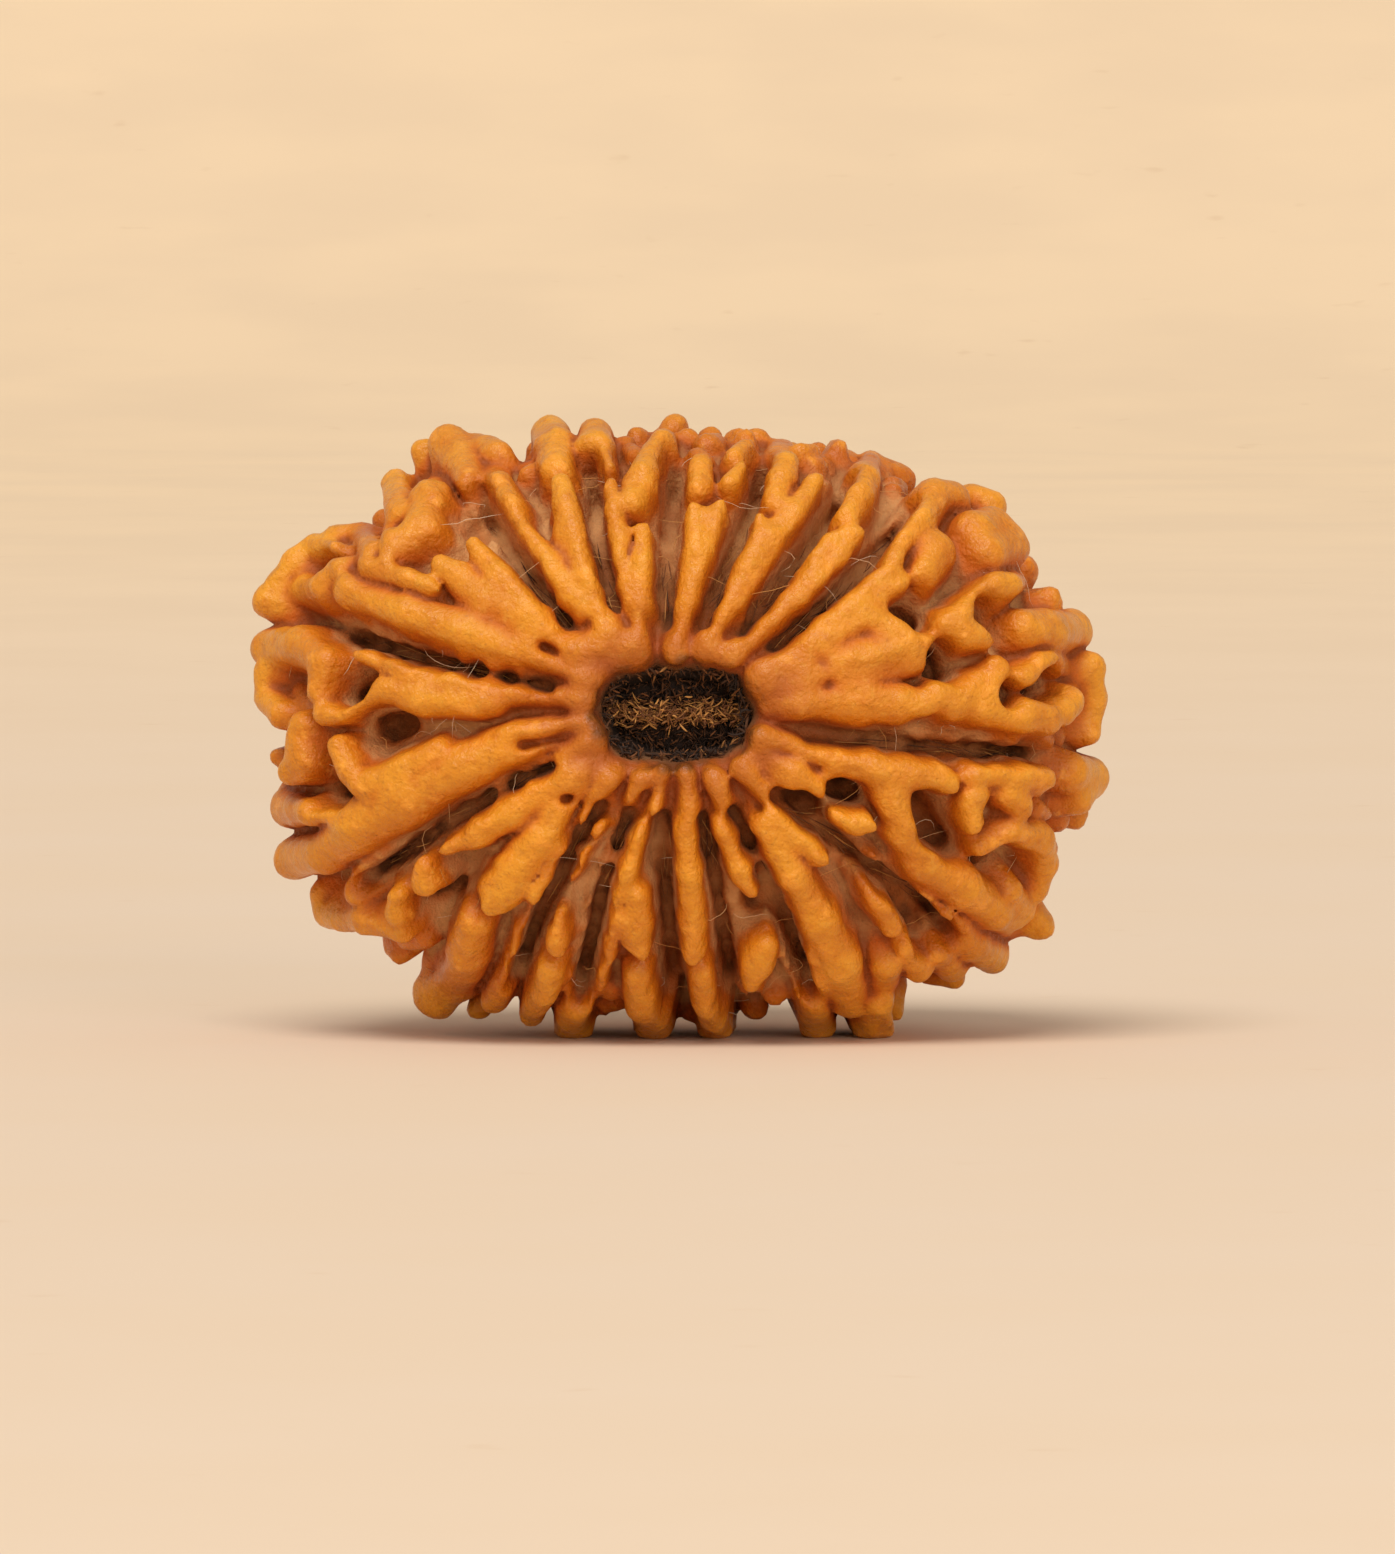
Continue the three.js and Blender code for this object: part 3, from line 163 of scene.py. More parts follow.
# Left of the mouth, between the grooves at -155 and 165 degrees.
LEFT_RIDGES = [
    [[-3.4, 0.6, 0.7], [-5.5, 1.0, 0.6], [-7.5, 1.4, 0.6], [-9.5, 1.9, 0.65], [-11.2, 2.4, 0.5]],
    [[-6.5, 0.6, 0.5], [-9.0, 0.6, 0.5], [-10.4, 0.9, 0.45], [-11.5, 0.2, 0.45], [-12.6, 0.1, 0.4]],
    [[-14.6, 2.5, 0.6], [-13.4, 2.5, 0.65], [-12.5, 1.9, 0.6], [-12.7, 0.9, 0.5]],
    [[-14.75, 1.6, 0.4, -0.8], [-14.6, 0.6, 0.45, -0.8], [-14.2, 0.0, 0.45]],
    [[-13.3, -0.5, 0.6], [-13.2, -1.6, 0.7], [-13.8, -2.0, 0.4]],
    [[-12.0, -1.2, 0.45], [-11.6, -2.1, 0.4]],
    [[-3.3, -0.3, 0.6], [-5.5, -0.9, 0.6], [-7.5, -1.8, 0.75], [-9.5, -2.9, 0.9],
     [-11.3, -3.9, 0.85], [-12.6, -5.0, 0.65], [-13.8, -5.2, 0.65]],
    [[-8.5, -1.2, 0.4], [-9.7, -1.9, 0.5], [-11.0, -2.4, 0.45]],
    [[-14.0, -3.3, 0.6], [-13.1, -3.5, 0.4], [-12.4, -3.4, 0.35]],
]
# Upper left, from 165 to 111 degrees.
UPPER_LEFT_RIDGES = [
    [[-3.2, 1.4, 0.75], [-5.0, 2.2, 0.7], [-7.5, 3.0, 0.62], [-9.5, 3.7, 0.58],
     [-11.6, 4.45, 0.52]],
    [[-3.4, 2.2, 0.8], [-5.0, 3.6, 0.75], [-6.2, 4.9, 0.6], [-7.2, 6.2, 0.32]],
    [[-4.6, 2.9, 0.8], [-6.6, 4.1, 0.7], [-7.6, 4.8, 0.55], [-8.4, 5.4, 0.32]],
    [[-9.9, 6.0, 0.45], [-9.0, 6.6, 0.7], [-8.8, 7.7, 0.7]],
    [[-9.8, 7.2, 0.55], [-10.1, 8.5, 0.42]],
    [[-14.7, 4.15, 0.5], [-13.5, 4.5, 0.58], [-12.4, 4.7, 0.55], [-11.8, 5.2, 0.45]],
    [[-14.3, 4.8, 0.4], [-13.8, 5.5, 0.42], [-13.0, 6.1, 0.4], [-12.2, 5.9, 0.35]],
    [[-12.2, 6.3, 0.5, -0.4], [-11.3, 6.4, 0.5, -0.6], [-10.8, 5.9, 0.3]],
    [[-10.25, 6.5, 0.16], [-10.35, 5.5, 0.2]],
    [[-2.6, 2.4, 0.7], [-3.6, 3.8, 0.65], [-4.6, 5.2, 0.58], [-5.5, 6.4, 0.42]],
    [[-2.4, 3.0, 0.6], [-3.1, 4.8, 0.6], [-3.6, 6.4, 0.6], [-3.9, 7.5, 0.42], [-4.05, 8.3, 0.26]],
    [[-5.7, 6.3, 0.5], [-6.1, 7.2, 0.72], [-6.4, 8.2, 0.6]],
    [[-7.2, 8.2, 0.35], [-7.6, 9.0, 0.6], [-8.3, 9.8, 0.58]],
    [[-7.2, 9.5, 0.5], [-6.4, 9.4, 0.42]],
    [[-8.7, 8.9, 0.4, 1.2], [-9.1, 9.6, 0.42, 1.2]],
    [[-4.25, 8.8, 0.5], [-4.35, 9.6, 0.55], [-4.5, 10.25, 0.46]],
    [[-5.0, 8.7, 0.45, 1.8], [-5.1, 9.6, 0.32, 1.8]],
    [[-11.0, 5.3, 0.3], [-9.6, 4.9, 0.3], [-8.8, 4.6, 0.3]],
]
# Above the mouth, from 111 to 42 degrees.
TOP_RIDGES = [
    [[-1.7, 2.4, 0.6], [-1.85, 4.2, 0.48], [-2.2, 6.0, 0.48], [-2.5, 7.3, 0.48],
     [-2.65, 8.2, 0.38]],
    [[-1.4, 2.5, 0.5], [-1.3, 3.9, 0.46], [-1.2, 5.4, 0.42], [-1.1, 6.6, 0.3]],
    [[-2.8, 8.9, 0.46], [-2.85, 9.5, 0.5], [-2.9, 10.1, 0.46]],
    [[-1.4, 7.6, 0.42], [-1.1, 8.4, 0.55], [-0.6, 9.4, 0.5], [-0.45, 9.8, 0.4]],
    [[-0.1, 9.6, 0.4, 0.9], [0.0, 10.5, 0.38, 0.9]],
    [[0.05, 2.3, 0.58], [0.35, 4.0, 0.48], [0.85, 5.6, 0.58], [1.5, 7.1, 0.5]],
    [[0.8, 5.8, 0.5], [0.65, 7.1, 0.42]],
    [[0.85, 8.1, 0.48], [0.87, 9.0, 0.38]],
    [[1.15, 9.2, 0.38, 1.0], [1.22, 10.05, 0.36, 1.0]],
    [[1.6, 9.2, 0.32, 2.2]],
    [[1.1, 2.4, 0.58], [1.95, 4.0, 0.54], [2.6, 5.3, 0.6], [3.4, 6.25, 0.52], [4.3, 7.3, 0.46],
     [5.05, 8.3, 0.4]],
    [[2.75, 5.9, 0.4], [2.9, 7.0, 0.34]],
    [[2.0, 8.3, 0.35], [2.6, 8.9, 0.36]],
    [[3.55, 7.6, 0.48], [3.65, 8.4, 0.58], [3.8, 9.0, 0.46]],
    [[4.25, 8.6, 0.42, 2.0]],
    [[2.0, 2.2, 0.6], [3.4, 3.5, 0.58], [4.9, 4.75, 0.62], [6.05, 5.6, 0.56]],
    [[4.5, 5.3, 0.5], [5.5, 6.1, 0.42], [6.4, 6.4, 0.42]],
    [[6.1, 7.1, 0.5], [6.45, 7.8, 0.6], [6.8, 8.5, 0.55]],
    [[5.6, 8.7, 0.38, 1.6], [6.3, 9.1, 0.3, 1.6]],
    [[7.35, 8.5, 0.38, 1.2], [7.3, 7.6, 0.35, 0.8]],
    [[7.85, 8.2, 0.4, 2.4]],
]
# The wide fused plate and the knobs right of the mouth, from 42 to -4 degrees.
RIGHT_RIDGES = [
    [[3.2, 1.4, 0.85], [5.0, 2.5, 0.95], [6.5, 3.7, 0.8], [7.35, 4.7, 0.5]],
    [[4.5, 1.4, 0.95], [6.5, 1.9, 1.0], [8.3, 2.4, 0.8], [8.95, 2.5, 0.55]],
    [[4.4, 0.5, 0.7], [6.5, 0.6, 0.85], [8.1, 0.4, 0.6]],
    [[7.3, 3.2, 0.6], [8.0, 3.2, 0.5]],
    [[8.9, 5.1, 0.55], [9.15, 5.7, 0.85]],
    [[8.0, 4.5, 0.45], [7.75, 5.6, 0.38], [8.0, 6.5, 0.5], [8.6, 7.0, 0.58]],
    [[8.7, 7.3, 0.5], [9.3, 7.9, 0.6], [9.95, 7.8, 0.58]],
    [[10.7, 6.5, 0.75], [11.3, 6.7, 0.72], [11.9, 6.1, 0.72], [11.1, 5.8, 0.7]],
    [[10.7, 7.9, 0.42, 0.8], [11.4, 7.6, 0.4, 0.8]],
    [[12.5, 5.2, 0.55, 0.9], [12.3, 4.5, 0.45, 0.9]],
    [[10.7, 4.2, 0.3], [11.5, 4.6, 0.36], [12.0, 4.7, 0.32]],
    [[9.2, 3.3, 0.34], [10.0, 3.3, 0.6], [10.4, 3.85, 0.4]],
    [[10.1, 2.9, 0.6], [11.0, 2.85, 0.5]],
    [[9.9, 0.5, 0.7], [11.0, 0.9, 0.75], [11.5, 1.6, 0.55]],
    [[11.0, 0.3, 0.6], [12.3, 0.05, 0.55], [13.2, -0.1, 0.5]],
    [[12.4, 1.3, 0.36], [13.1, 1.75, 0.4], [13.5, 1.85, 0.32]],
    [[12.5, 3.1, 0.62], [13.3, 3.0, 0.68], [14.3, 3.1, 0.6]],
    [[13.8, 0.2, 0.48], [14.15, 0.5, 0.42]],
    [[15.0, 1.7, 0.46, -0.6], [15.1, 0.6, 0.42, -0.4], [15.0, -0.6, 0.46, -0.6]],
    [[8.9, 0.4, 0.4], [9.6, 0.9, 0.4]],
]
# Lower right, from -4 to -61 degrees.
LOWER_RIGHT_RIDGES = [
    [[3.1, -0.8, 0.5], [5.0, -1.6, 0.68], [7.0, -1.9, 0.8], [8.8, -1.8, 0.72], [9.5, -2.3, 0.55]],
    [[4.2, -2.1, 0.55], [5.5, -3.2, 0.5], [6.5, -3.8, 0.46]],
    [[7.6, -2.7, 0.6], [8.2, -4.0, 0.58], [8.8, -5.1, 0.75], [10.3, -6.1, 0.75],
     [11.4, -6.9, 0.68], [12.2, -7.3, 0.55]],
    [[10.8, -1.9, 0.75], [12.0, -1.9, 0.85], [12.9, -2.1, 0.68]],
    [[10.7, -2.9, 0.5], [10.6, -3.8, 0.42]],
    [[11.9, -2.8, 0.6], [12.4, -3.3, 0.46]],
    [[14.2, -2.0, 0.65], [14.9, -2.2, 0.58], [14.4, -3.0, 0.5]],
    [[14.5, -3.6, 0.3, 0.6]],
    [[10.9, -4.8, 0.35], [12.0, -4.3, 0.46], [13.1, -4.4, 0.5], [13.3, -5.4, 0.48],
     [13.0, -6.2, 0.45]],
    [[12.1, -6.3, 0.46], [12.3, -7.1, 0.5]],
    [[13.2, -7.6, 0.46, -0.5], [12.6, -7.4, 0.4]],
    [[2.5, -1.9, 0.56], [3.5, -3.3, 0.56], [4.5, -4.2, 0.52], [5.2, -5.0, 0.4]],
    [[3.2, -4.0, 0.5], [4.2, -5.7, 0.56], [5.2, -7.2, 0.6], [5.9, -8.7, 0.62], [6.3, -10.3, 0.48]],
    [[6.9, -5.5, 0.42], [7.5, -6.5, 0.66], [7.9, -7.4, 0.55]],
    [[8.3, -6.6, 0.6], [9.5, -7.4, 0.55], [10.7, -8.2, 0.54], [11.5, -8.7, 0.48]],
    [[9.5, -8.5, 0.48], [10.0, -9.1, 0.42]],
    [[8.3, -8.3, 0.42], [8.8, -9.1, 0.42]],
    [[10.1, -9.5, 0.3, 0.6], [9.0, -9.6, 0.3, 0.8]],
    [[7.6, -8.9, 0.5], [7.3, -10.2, 0.52], [7.1, -11.1, 0.5]],
    [[8.1, -9.8, 0.35, 1.6], [8.0, -10.8, 0.3, 1.6]],
]
# Below the mouth, from -61 to -126 degrees.
BOTTOM_RIDGES = [
    [[1.4, -2.3, 0.52], [1.9, -4.1, 0.52], [2.5, -5.5, 0.52], [3.2, -6.5, 0.48]],
    [[3.4, -8.0, 0.5], [2.9, -8.8, 0.58], [2.6, -9.5, 0.5]],
    [[3.9, -7.4, 0.46], [4.3, -8.5, 0.5], [4.8, -9.7, 0.5], [5.1, -10.8, 0.42]],
    [[2.9, -10.5, 0.42, -0.6]],
    [[0.4, -2.1, 0.48], [0.4, -3.9, 0.48], [0.5, -5.7, 0.52], [0.6, -7.3, 0.58], [0.6, -8.3, 0.48]],
    [[1.0, -9.2, 0.5], [1.25, -10.2, 0.55], [1.4, -10.9, 0.45]],
    [[0.3, -9.8, 0.35, -0.6], [0.6, -10.6, 0.35, -0.6]],
    [[-0.5, -2.0, 0.42], [-0.75, -3.2, 0.3]],
    [[-1.2, -2.3, 0.48], [-1.6, -4.1, 0.48], [-2.0, -5.7, 0.5], [-2.4, -7.1, 0.46],
     [-2.8, -8.5, 0.48], [-3.2, -9.8, 0.46], [-3.75, -10.9, 0.4]],
    [[-1.35, -6.5, 0.4], [-1.3, -7.4, 0.52], [-1.2, -8.2, 0.44]],
    [[-1.3, -9.3, 0.48], [-1.05, -10.4, 0.6], [-0.75, -11.1, 0.5]],
    [[-2.4, -2.3, 0.52], [-3.0, -3.9, 0.48], [-3.9, -5.3, 0.48], [-4.7, -6.4, 0.42]],
    [[-4.6, -7.2, 0.55], [-4.3, -8.1, 0.45]],
    [[-5.3, -8.1, 0.46], [-5.8, -9.2, 0.4], [-6.6, -10.3, 0.42]],
    [[-7.1, -10.6, 0.36, 0.4]],
    [[-4.5, -9.1, 0.45], [-4.8, -9.9, 0.42], [-5.2, -10.8, 0.34]],
]
# Lower left, from -126 to -155 degrees.
LOWER_LEFT_RIDGES = [
    [[-3.0, -0.9, 0.65], [-4.4, -2.3, 0.66], [-5.8, -3.2, 0.66], [-7.2, -4.0, 0.6],
     [-8.3, -4.5, 0.4]],
    [[-3.6, -2.2, 0.6], [-4.7, -4.3, 0.58], [-5.6, -5.4, 0.58], [-6.3, -6.3, 0.6]],
    [[-9.2, -5.2, 0.42], [-8.9, -6.1, 0.48]],
    [[-9.9, -6.5, 0.45], [-9.9, -7.1, 0.42]],
    [[-11.5, -6.3, 0.46], [-10.6, -5.8, 0.44]],
    [[-12.8, -6.5, 0.48], [-12.5, -7.1, 0.5], [-11.2, -7.4, 0.42], [-9.8, -7.8, 0.38]],
    [[-7.3, -7.5, 0.58], [-7.5, -8.5, 0.68], [-7.8, -9.5, 0.78], [-8.7, -10.1, 0.7]],
]
# The lobes that the bead lies on run along y, over the girdle.
RESTING_RIDGES = [
    [[-3.75, -10.5, 0.45, -3.2], [-3.75, -11.28, 0.48, -1.2], [-3.75, -11.3, 0.5, 1.4],
     [-3.8, -10.5, 0.5, 3.6]],
    [[-0.6, -10.5, 0.45, -3.6], [-0.8, -11.3, 0.5, -1.6], [-0.85, -11.32, 0.5, 1.2],
     [-0.9, -10.6, 0.5, 3.3]],
    [[1.4, -10.5, 0.42, -3.2], [1.45, -11.25, 0.48, -1.2], [1.5, -11.3, 0.5, 1.6],
     [1.55, -10.5, 0.5, 3.8]],
    [[4.9, -10.3, 0.42, -3.1], [5.1, -11.2, 0.48, -1.1], [5.15, -11.25, 0.5, 1.5],
     [5.1, -10.4, 0.5, 3.5]],
    [[7.3, -10.3, 0.5, -3.0], [7.1, -11.3, 0.5, -1.2], [7.0, -11.3, 0.5, 1.6],
     [6.8, -10.4, 0.5, 3.5]],
]
# Small dark pits between the lobes.
PITS = [
    [[-12.1, 0.8, 0.3], [-11.5, 1.1, 0.3]],
    [[-11.2, -0.5, 0.35], [-10.6, -0.3, 0.3]],
    [[-13.0, -2.9, 0.28], [-12.3, -2.9, 0.28]],
    [[-13.0, 5.5, 0.26], [-12.6, 5.45, 0.2]],
    [[6.0, -2.75, 0.28], [6.5, -2.9, 0.28]],
    [[4.2, -2.9, 0.28], [4.9, -3.5, 0.28]],
    [[8.5, 3.9, 0.3], [8.8, 3.6, 0.28]],
    [[9.6, 2.2, 0.28], [9.8, 1.7, 0.28]],
    [[12.1, 0.75, 0.24]],
    [[13.4, 1.1, 0.28], [13.9, 1.4, 0.3]],
    [[11.2, 3.9, 0.28], [11.5, 3.4, 0.24]],
    [[9.1, -3.3, 0.3], [9.5, -4.2, 0.3], [10.2, -5.0, 0.25]],
    [[11.6, -5.7, 0.25], [12.0, -5.2, 0.3]],
    [[8.65, -7.5, 0.2]],
    [[9.1, -8.1, 0.2], [9.2, -8.6, 0.2]],
    [[2.9, -7.2, 0.3], [2.9, -7.7, 0.25]],
    [[-9.3, -7.2, 0.25], [-8.5, -6.95, 0.28]],
    [[-7.9, 8.0, 0.2], [-7.4, 7.6, 0.25]],
]
# Each groove's azimuth in degrees, beside the mouth and at the girdle.
GROOVES = [
    [-163, -155.5], [-135, -126], [-119, -113], [-99, -92], [-74, -78],
    [-57, -61], [-37, -34.8], [-7, -3.8], [35.5, 42], [53, 54],
    [75, 71], [97, 92], [124, 111], [141, 133], [165.5, 164.5],
]

FRONT_RIDGES = (
    LEFT_RIDGES + UPPER_LEFT_RIDGES + TOP_RIDGES + RIGHT_RIDGES
    + LOWER_RIGHT_RIDGES + BOTTOM_RIDGES + LOWER_LEFT_RIDGES + RESTING_RIDGES
)

RANDOM = {"times": 1664525, "plus": 1013904223, "span": 4294967296}


def make_random(seed):
    """The same draws as the solid's own, so that both lay out the back alike."""
    state = [seed]

    def draw():
        state[0] = (state[0] * RANDOM["times"] + RANDOM["plus"]) % RANDOM["span"]
        return state[0] / RANDOM["span"]

    return draw


def pole_height(y):
    """The height of a mouth's middle, for places on the front or the back."""
    return np.where(y > 0, BACK_MOUTH_Z, 0.0)


def rounded_distance(x, y, z, half):
    """Distance to a rounded surface of these half sizes, on arrays of coordinates from CENTRE."""
    x, y, z = x / half[0], y / half[1], z / half[2]
    ax, ay, az = np.abs(x), np.abs(y), np.abs(z)
    outline = ax**OUTLINE_POWER + az**OUTLINE_POWER + 1e-12
    ratio = PROFILE_POWER / OUTLINE_POWER
    level = (outline**ratio + ay**PROFILE_POWER) ** (1 / PROFILE_POWER)
    share = level ** (1 - PROFILE_POWER)
    round_ = share * outline ** (ratio - 1)
    gx = round_ * ax ** (OUTLINE_POWER - 1) / half[0]
    gy = share * ay ** (PROFILE_POWER - 1) / half[1]
    gz = round_ * az ** (OUTLINE_POWER - 1) / half[2]
    return (level - 1) / np.sqrt(gx * gx + gy * gy + gz * gz)


def rounded_normal(p, half):
    q = (p - CENTRE) / half
    powers = np.array([OUTLINE_POWER, PROFILE_POWER, OUTLINE_POWER])
    outline = abs(q[0]) ** OUTLINE_POWER + abs(q[2]) ** OUTLINE_POWER + 1e-12
    weight = outline ** (PROFILE_POWER / OUTLINE_POWER - 1)
    n = np.sign(q) * np.abs(q) ** (powers - 1) * [weight, 1.0, weight] / half
    return n / np.linalg.norm(n)


def eased(t):
    return t * t * (3 - 2 * t)


def ramp(value, start, length):
    """From 0 at the start to 1 a length further on."""
    return np.clip((value - start) / length, 0, 1)


def smooth_step(value, low, high):
    return eased(min(max((value - low) / (high - low), 0), 1))


def mouth_level(x, z):
    """How far out a place is from the mouth's middle: 1 on its rim."""
    power = MOUTH["power"]
    return (abs(x / MOUTH["x"]) ** power + abs(z / MOUTH["z"]) ** power) ** (1 / power)


def lobe(place):
    """A lobe's centre under the crest surface, its radius, and the way out there."""
    x, z, radius = place[:3]
    out = smooth_step(mouth_level(x, z), FULLNESS["from"], FULLNESS["to"])
    radius *= FULLNESS["near"] + (FULLNESS["far"] - FULLNESS["near"]) * out
    half = CREST - radius
    y = place[3] if len(place) > 3 else -half[1]
    centre = np.array([x, y, z])
    # The view's tilt ties the height to the depth, so the two settle in a few rounds.
    for _ in range(SETTLING_ROUNDS):
        centre[2] = z - VIEW_TILT * (centre[1] + CREST[1])
        if len(place) > 3:
            continue
        across = abs((x - CENTRE[0]) / half[0]) ** OUTLINE_POWER
        up = abs((centre[2] - CENTRE[2]) / half[2]) ** OUTLINE_POWER
        reach = (across + up) ** (PROFILE_POWER / OUTLINE_POWER)
        centre[1] = -half[1] * max(0.0, 1 - reach) ** (1 / PROFILE_POWER)
    return centre, radius, rounded_normal(centre, half)


def lobe_behind(azimuth, latitude, radius, sink):
    """A lobe by azimuth and latitude in degrees, with latitude 90 at the back pole."""
    half = CREST - (radius + sink)
    turn, tilt = math.radians(azimuth), math.radians(latitude)
    round_ = abs(math.cos(tilt)) ** (2 / PROFILE_POWER)
    across, up = math.cos(turn), math.sin(turn)
    level = abs(across / half[0]) ** OUTLINE_POWER + abs(up / half[2]) ** OUTLINE_POWER
    reach = round_ / level ** (1 / OUTLINE_POWER)
    pole = pole_height(tilt)
    centre = np.array([
        CENTRE[0] * round_ + across * reach,
        math.copysign(half[1] * abs(math.sin(tilt)) ** (2 / PROFILE_POWER), tilt),
        pole + (CENTRE[2] - pole) * round_ + up * reach,
    ])
    return centre, radius, rounded_normal(centre, half)


def groove_azimuth(groove, latitude):
    inner, outer = groove
    return inner + (outer - inner) * min(1.0, math.cos(math.radians(latitude)) * GROOVE["settle"])


def outline_lobes():
    """The lobes of the front that stand at the outline, with their azimuths."""
    found = []
    for chain in FRONT_RIDGES:
        lobes = [lobe(place) for place in chain]
        out = [(p[0] - CENTRE) * [1, 0, 1] for p in lobes]
        level = [np.linalg.norm(o / CREST) for o in out]
        best = int(np.argmax(level))
        if level[best] >= BACK["outline"]:
            azimuth = math.degrees(math.atan2(out[best][2], out[best][0]))
            found.append((azimuth, lobes[best]))
    return found


def back_ridges():
    """The back's ridges: each wanders along its own azimuth, and some are broken into knobs."""
    draw = make_random(BACK["seed"])

    def between(low, high):
        return low + (high - low) * draw()

    starts = outline_lobes()
    fork, inner, outer = BACK["fork"], BACK["inner"], BACK["outer"]
    chains = []
    for i, groove in enumerate(GROOVES):
        following = GROOVES[(i + 1) % len(GROOVES)]
        turn = 360 if i + 1 == len(GROOVES) else 0
        width = following[1] + turn - groove[1]
        count = max(1, math.floor(math.radians(width) * CREST[2] / BACK["girth_of_one"] + 0.5))

        def place(share, latitude, radius, sink):
            low = groove_azimuth(groove, latitude)
            high = groove_azimuth(following, latitude) + turn
            wander = between(-BACK["wander"], BACK["wander"])
            return lobe_behind(low + (high - low) * (share + wander), latitude, radius, sink)

        stems = [(k + 0.5 + between(-BACK["shift"], BACK["shift"])) / count for k in range(count)]
        forks = [place(s, fork["latitude"], between(*fork["radius"]), fork["sink"]) for s in stems]
        for k, share in enumerate(stems):
            inward = []
            for latitude in inner["latitudes"]:
                room = math.radians(width) * CREST[0] * math.cos(math.radians(latitude)) / count
                least, most = inner["radius"]
                radius = least + (most - least) * min(1, room)
                inward.append(place(share, latitude, radius, between(*inner["sink"])))
            chains.append([forks[k]] + inward)
        for azimuth, start in starts:
            share = ((azimuth - groove[1]) % 360) / width
            if share > 1:
                continue
            stem = min(count - 1, math.floor(share * count))
            outward = []
            for k, latitude in enumerate(outer["latitudes"]):
                lean = share + (stems[stem] - share) * k / (len(outer["latitudes"]) + 1)
                radius = between(*outer["radius"])
                sink = between(*outer["sink" if k else "first"])
                outward.append(place(lean, latitude, radius, sink))
            if draw() < BACK["broken"]:
                chains += [[start, outward[0]], [outward[1], outward[2], forks[stem]]]
            else:
                chains.append([start] + outward + [forks[stem]])
    return chains


def collar(side):
    """A low swelling all round a mouth, which the ridges of that side run into."""
    half = CREST - (COLLAR["radius"] + COLLAR["sink"])
    ring = []
    for i in range(COLLAR["steps"] + 1):
        turn = 2 * math.pi * i / COLLAR["steps"]
        centre = np.array([
            COLLAR["x"] * math.cos(turn),
            side * half[1],
            pole_height(side) + COLLAR["z"] * math.sin(turn),
        ])
        ring.append((centre, COLLAR["radius"], rounded_normal(centre, half)))
    return ring


def over_rim(chain):
    """The end of a front ridge that starts beside the mouth, and hangs a little over its rim."""
    lobes = [lobe(place) for place in chain]
    x, z = chain[0][:2]
    radius = lobes[0][1] * RIM["thinner"]
    level = mouth_level(x, z)
    if level > RIM["reach"]:
        return []
    share = RIM["end"] / level + radius / math.hypot(x, z)
    half = CREST - radius
    centre = np.array([x * share, RIM["sink"] - half[1], z * share])
    return [((centre, radius, rounded_normal(centre, half)), lobes[0])]


def groove_chains():
    """The grooves, from mouth to mouth, just under the valley floor."""
    under = RIDGE_RISE + GROOVE["sink"]
    chains = []
    for groove in GROOVES:
        chain = []
        for i in range(GROOVE["steps"]):
            latitude = GROOVE["last"] * (2 * i / (GROOVE["steps"] - 1) - 1)
            fading = smooth_step(abs(latitude), GROOVE["fade_from"], GROOVE["last"])
            below = under[0] + (under[1] - under[0]) * abs(latitude) / 90
            sink = below - GROOVE["fade"] * fading
            azimuth = groove_azimuth(groove, latitude)
            centre, _, normal = lobe_behind(azimuth, latitude, 0, sink)
            shallow = abs(latitude) < GROOVE["girdle"]
            chain.append((centre, GROOVE["radius"], normal, shallow))
        chains.append(chain)
    return chains


def pit_chain(chain):
    """A pit's own chain, on the valley floor."""
    found = []
    for place in chain:
        centre, radius, normal = lobe(place)
        found.append((centre - normal * (RIDGE_RISE[1] + radius), radius, normal, False))
    return found


def tipped(chain):
    """A front ridge's lobes, with a pointed tip past its outer end where that isn't the outline."""
    lobes = [lobe(place) for place in chain]
    if len(chain) < 2 or len(chain[-1]) > 3:
        return lobes
    x, z, radius = chain[-1]
    run = np.array([x - chain[-2][0], z - chain[-2][1]])
    run *= TIP["reach"] * radius / max(np.linalg.norm(run), 1e-6)
    tip = (x + run[0], z + run[1])
    if math.hypot((tip[0] - CENTRE[0]) / CREST[0], (tip[1] - CENTRE[2]) / CREST[2]) > TIP["inside"]:
        return lobes
    return lobes + [lobe((*tip, TIP["radius"] * radius))]


def rim_creases(ridges, side):
    """Creases between the ridges that crowd round a mouth."""
    pole = pole_height(side)
    turns = []
    for chain in ridges:
        for centre, _, _ in (chain[0], chain[-1]):
            x, z = centre[0], centre[2] - pole
            if centre[1] * side > 0 and mouth_level(x, z) < CREASE["reach"]:
                turns.append(math.atan2(z, x))
    turns.sort()
    chains = []
    for turn, following in zip(turns, turns[1:] + [turns[0] + 2 * math.pi]):
        if following - turn < CREASE["apart"]:
            continue
        across, up = math.cos((turn + following) / 2), math.sin((turn + following) / 2)
        level = mouth_level(across, up)
        chain = []
        for reach in (CREASE["from"], CREASE["to"]):
            x, z = across * reach / level, up * reach / level
            centre, _, normal = lobe((x, z, 0.0))
            centre = np.array([centre[0], -side * centre[1], centre[2] + pole])
            normal = normal * [1, -side, 1]
            chain.append((centre - normal * CREASE["root"], CREASE["radius"], normal, False))
        chains.append(chain)
    return chains


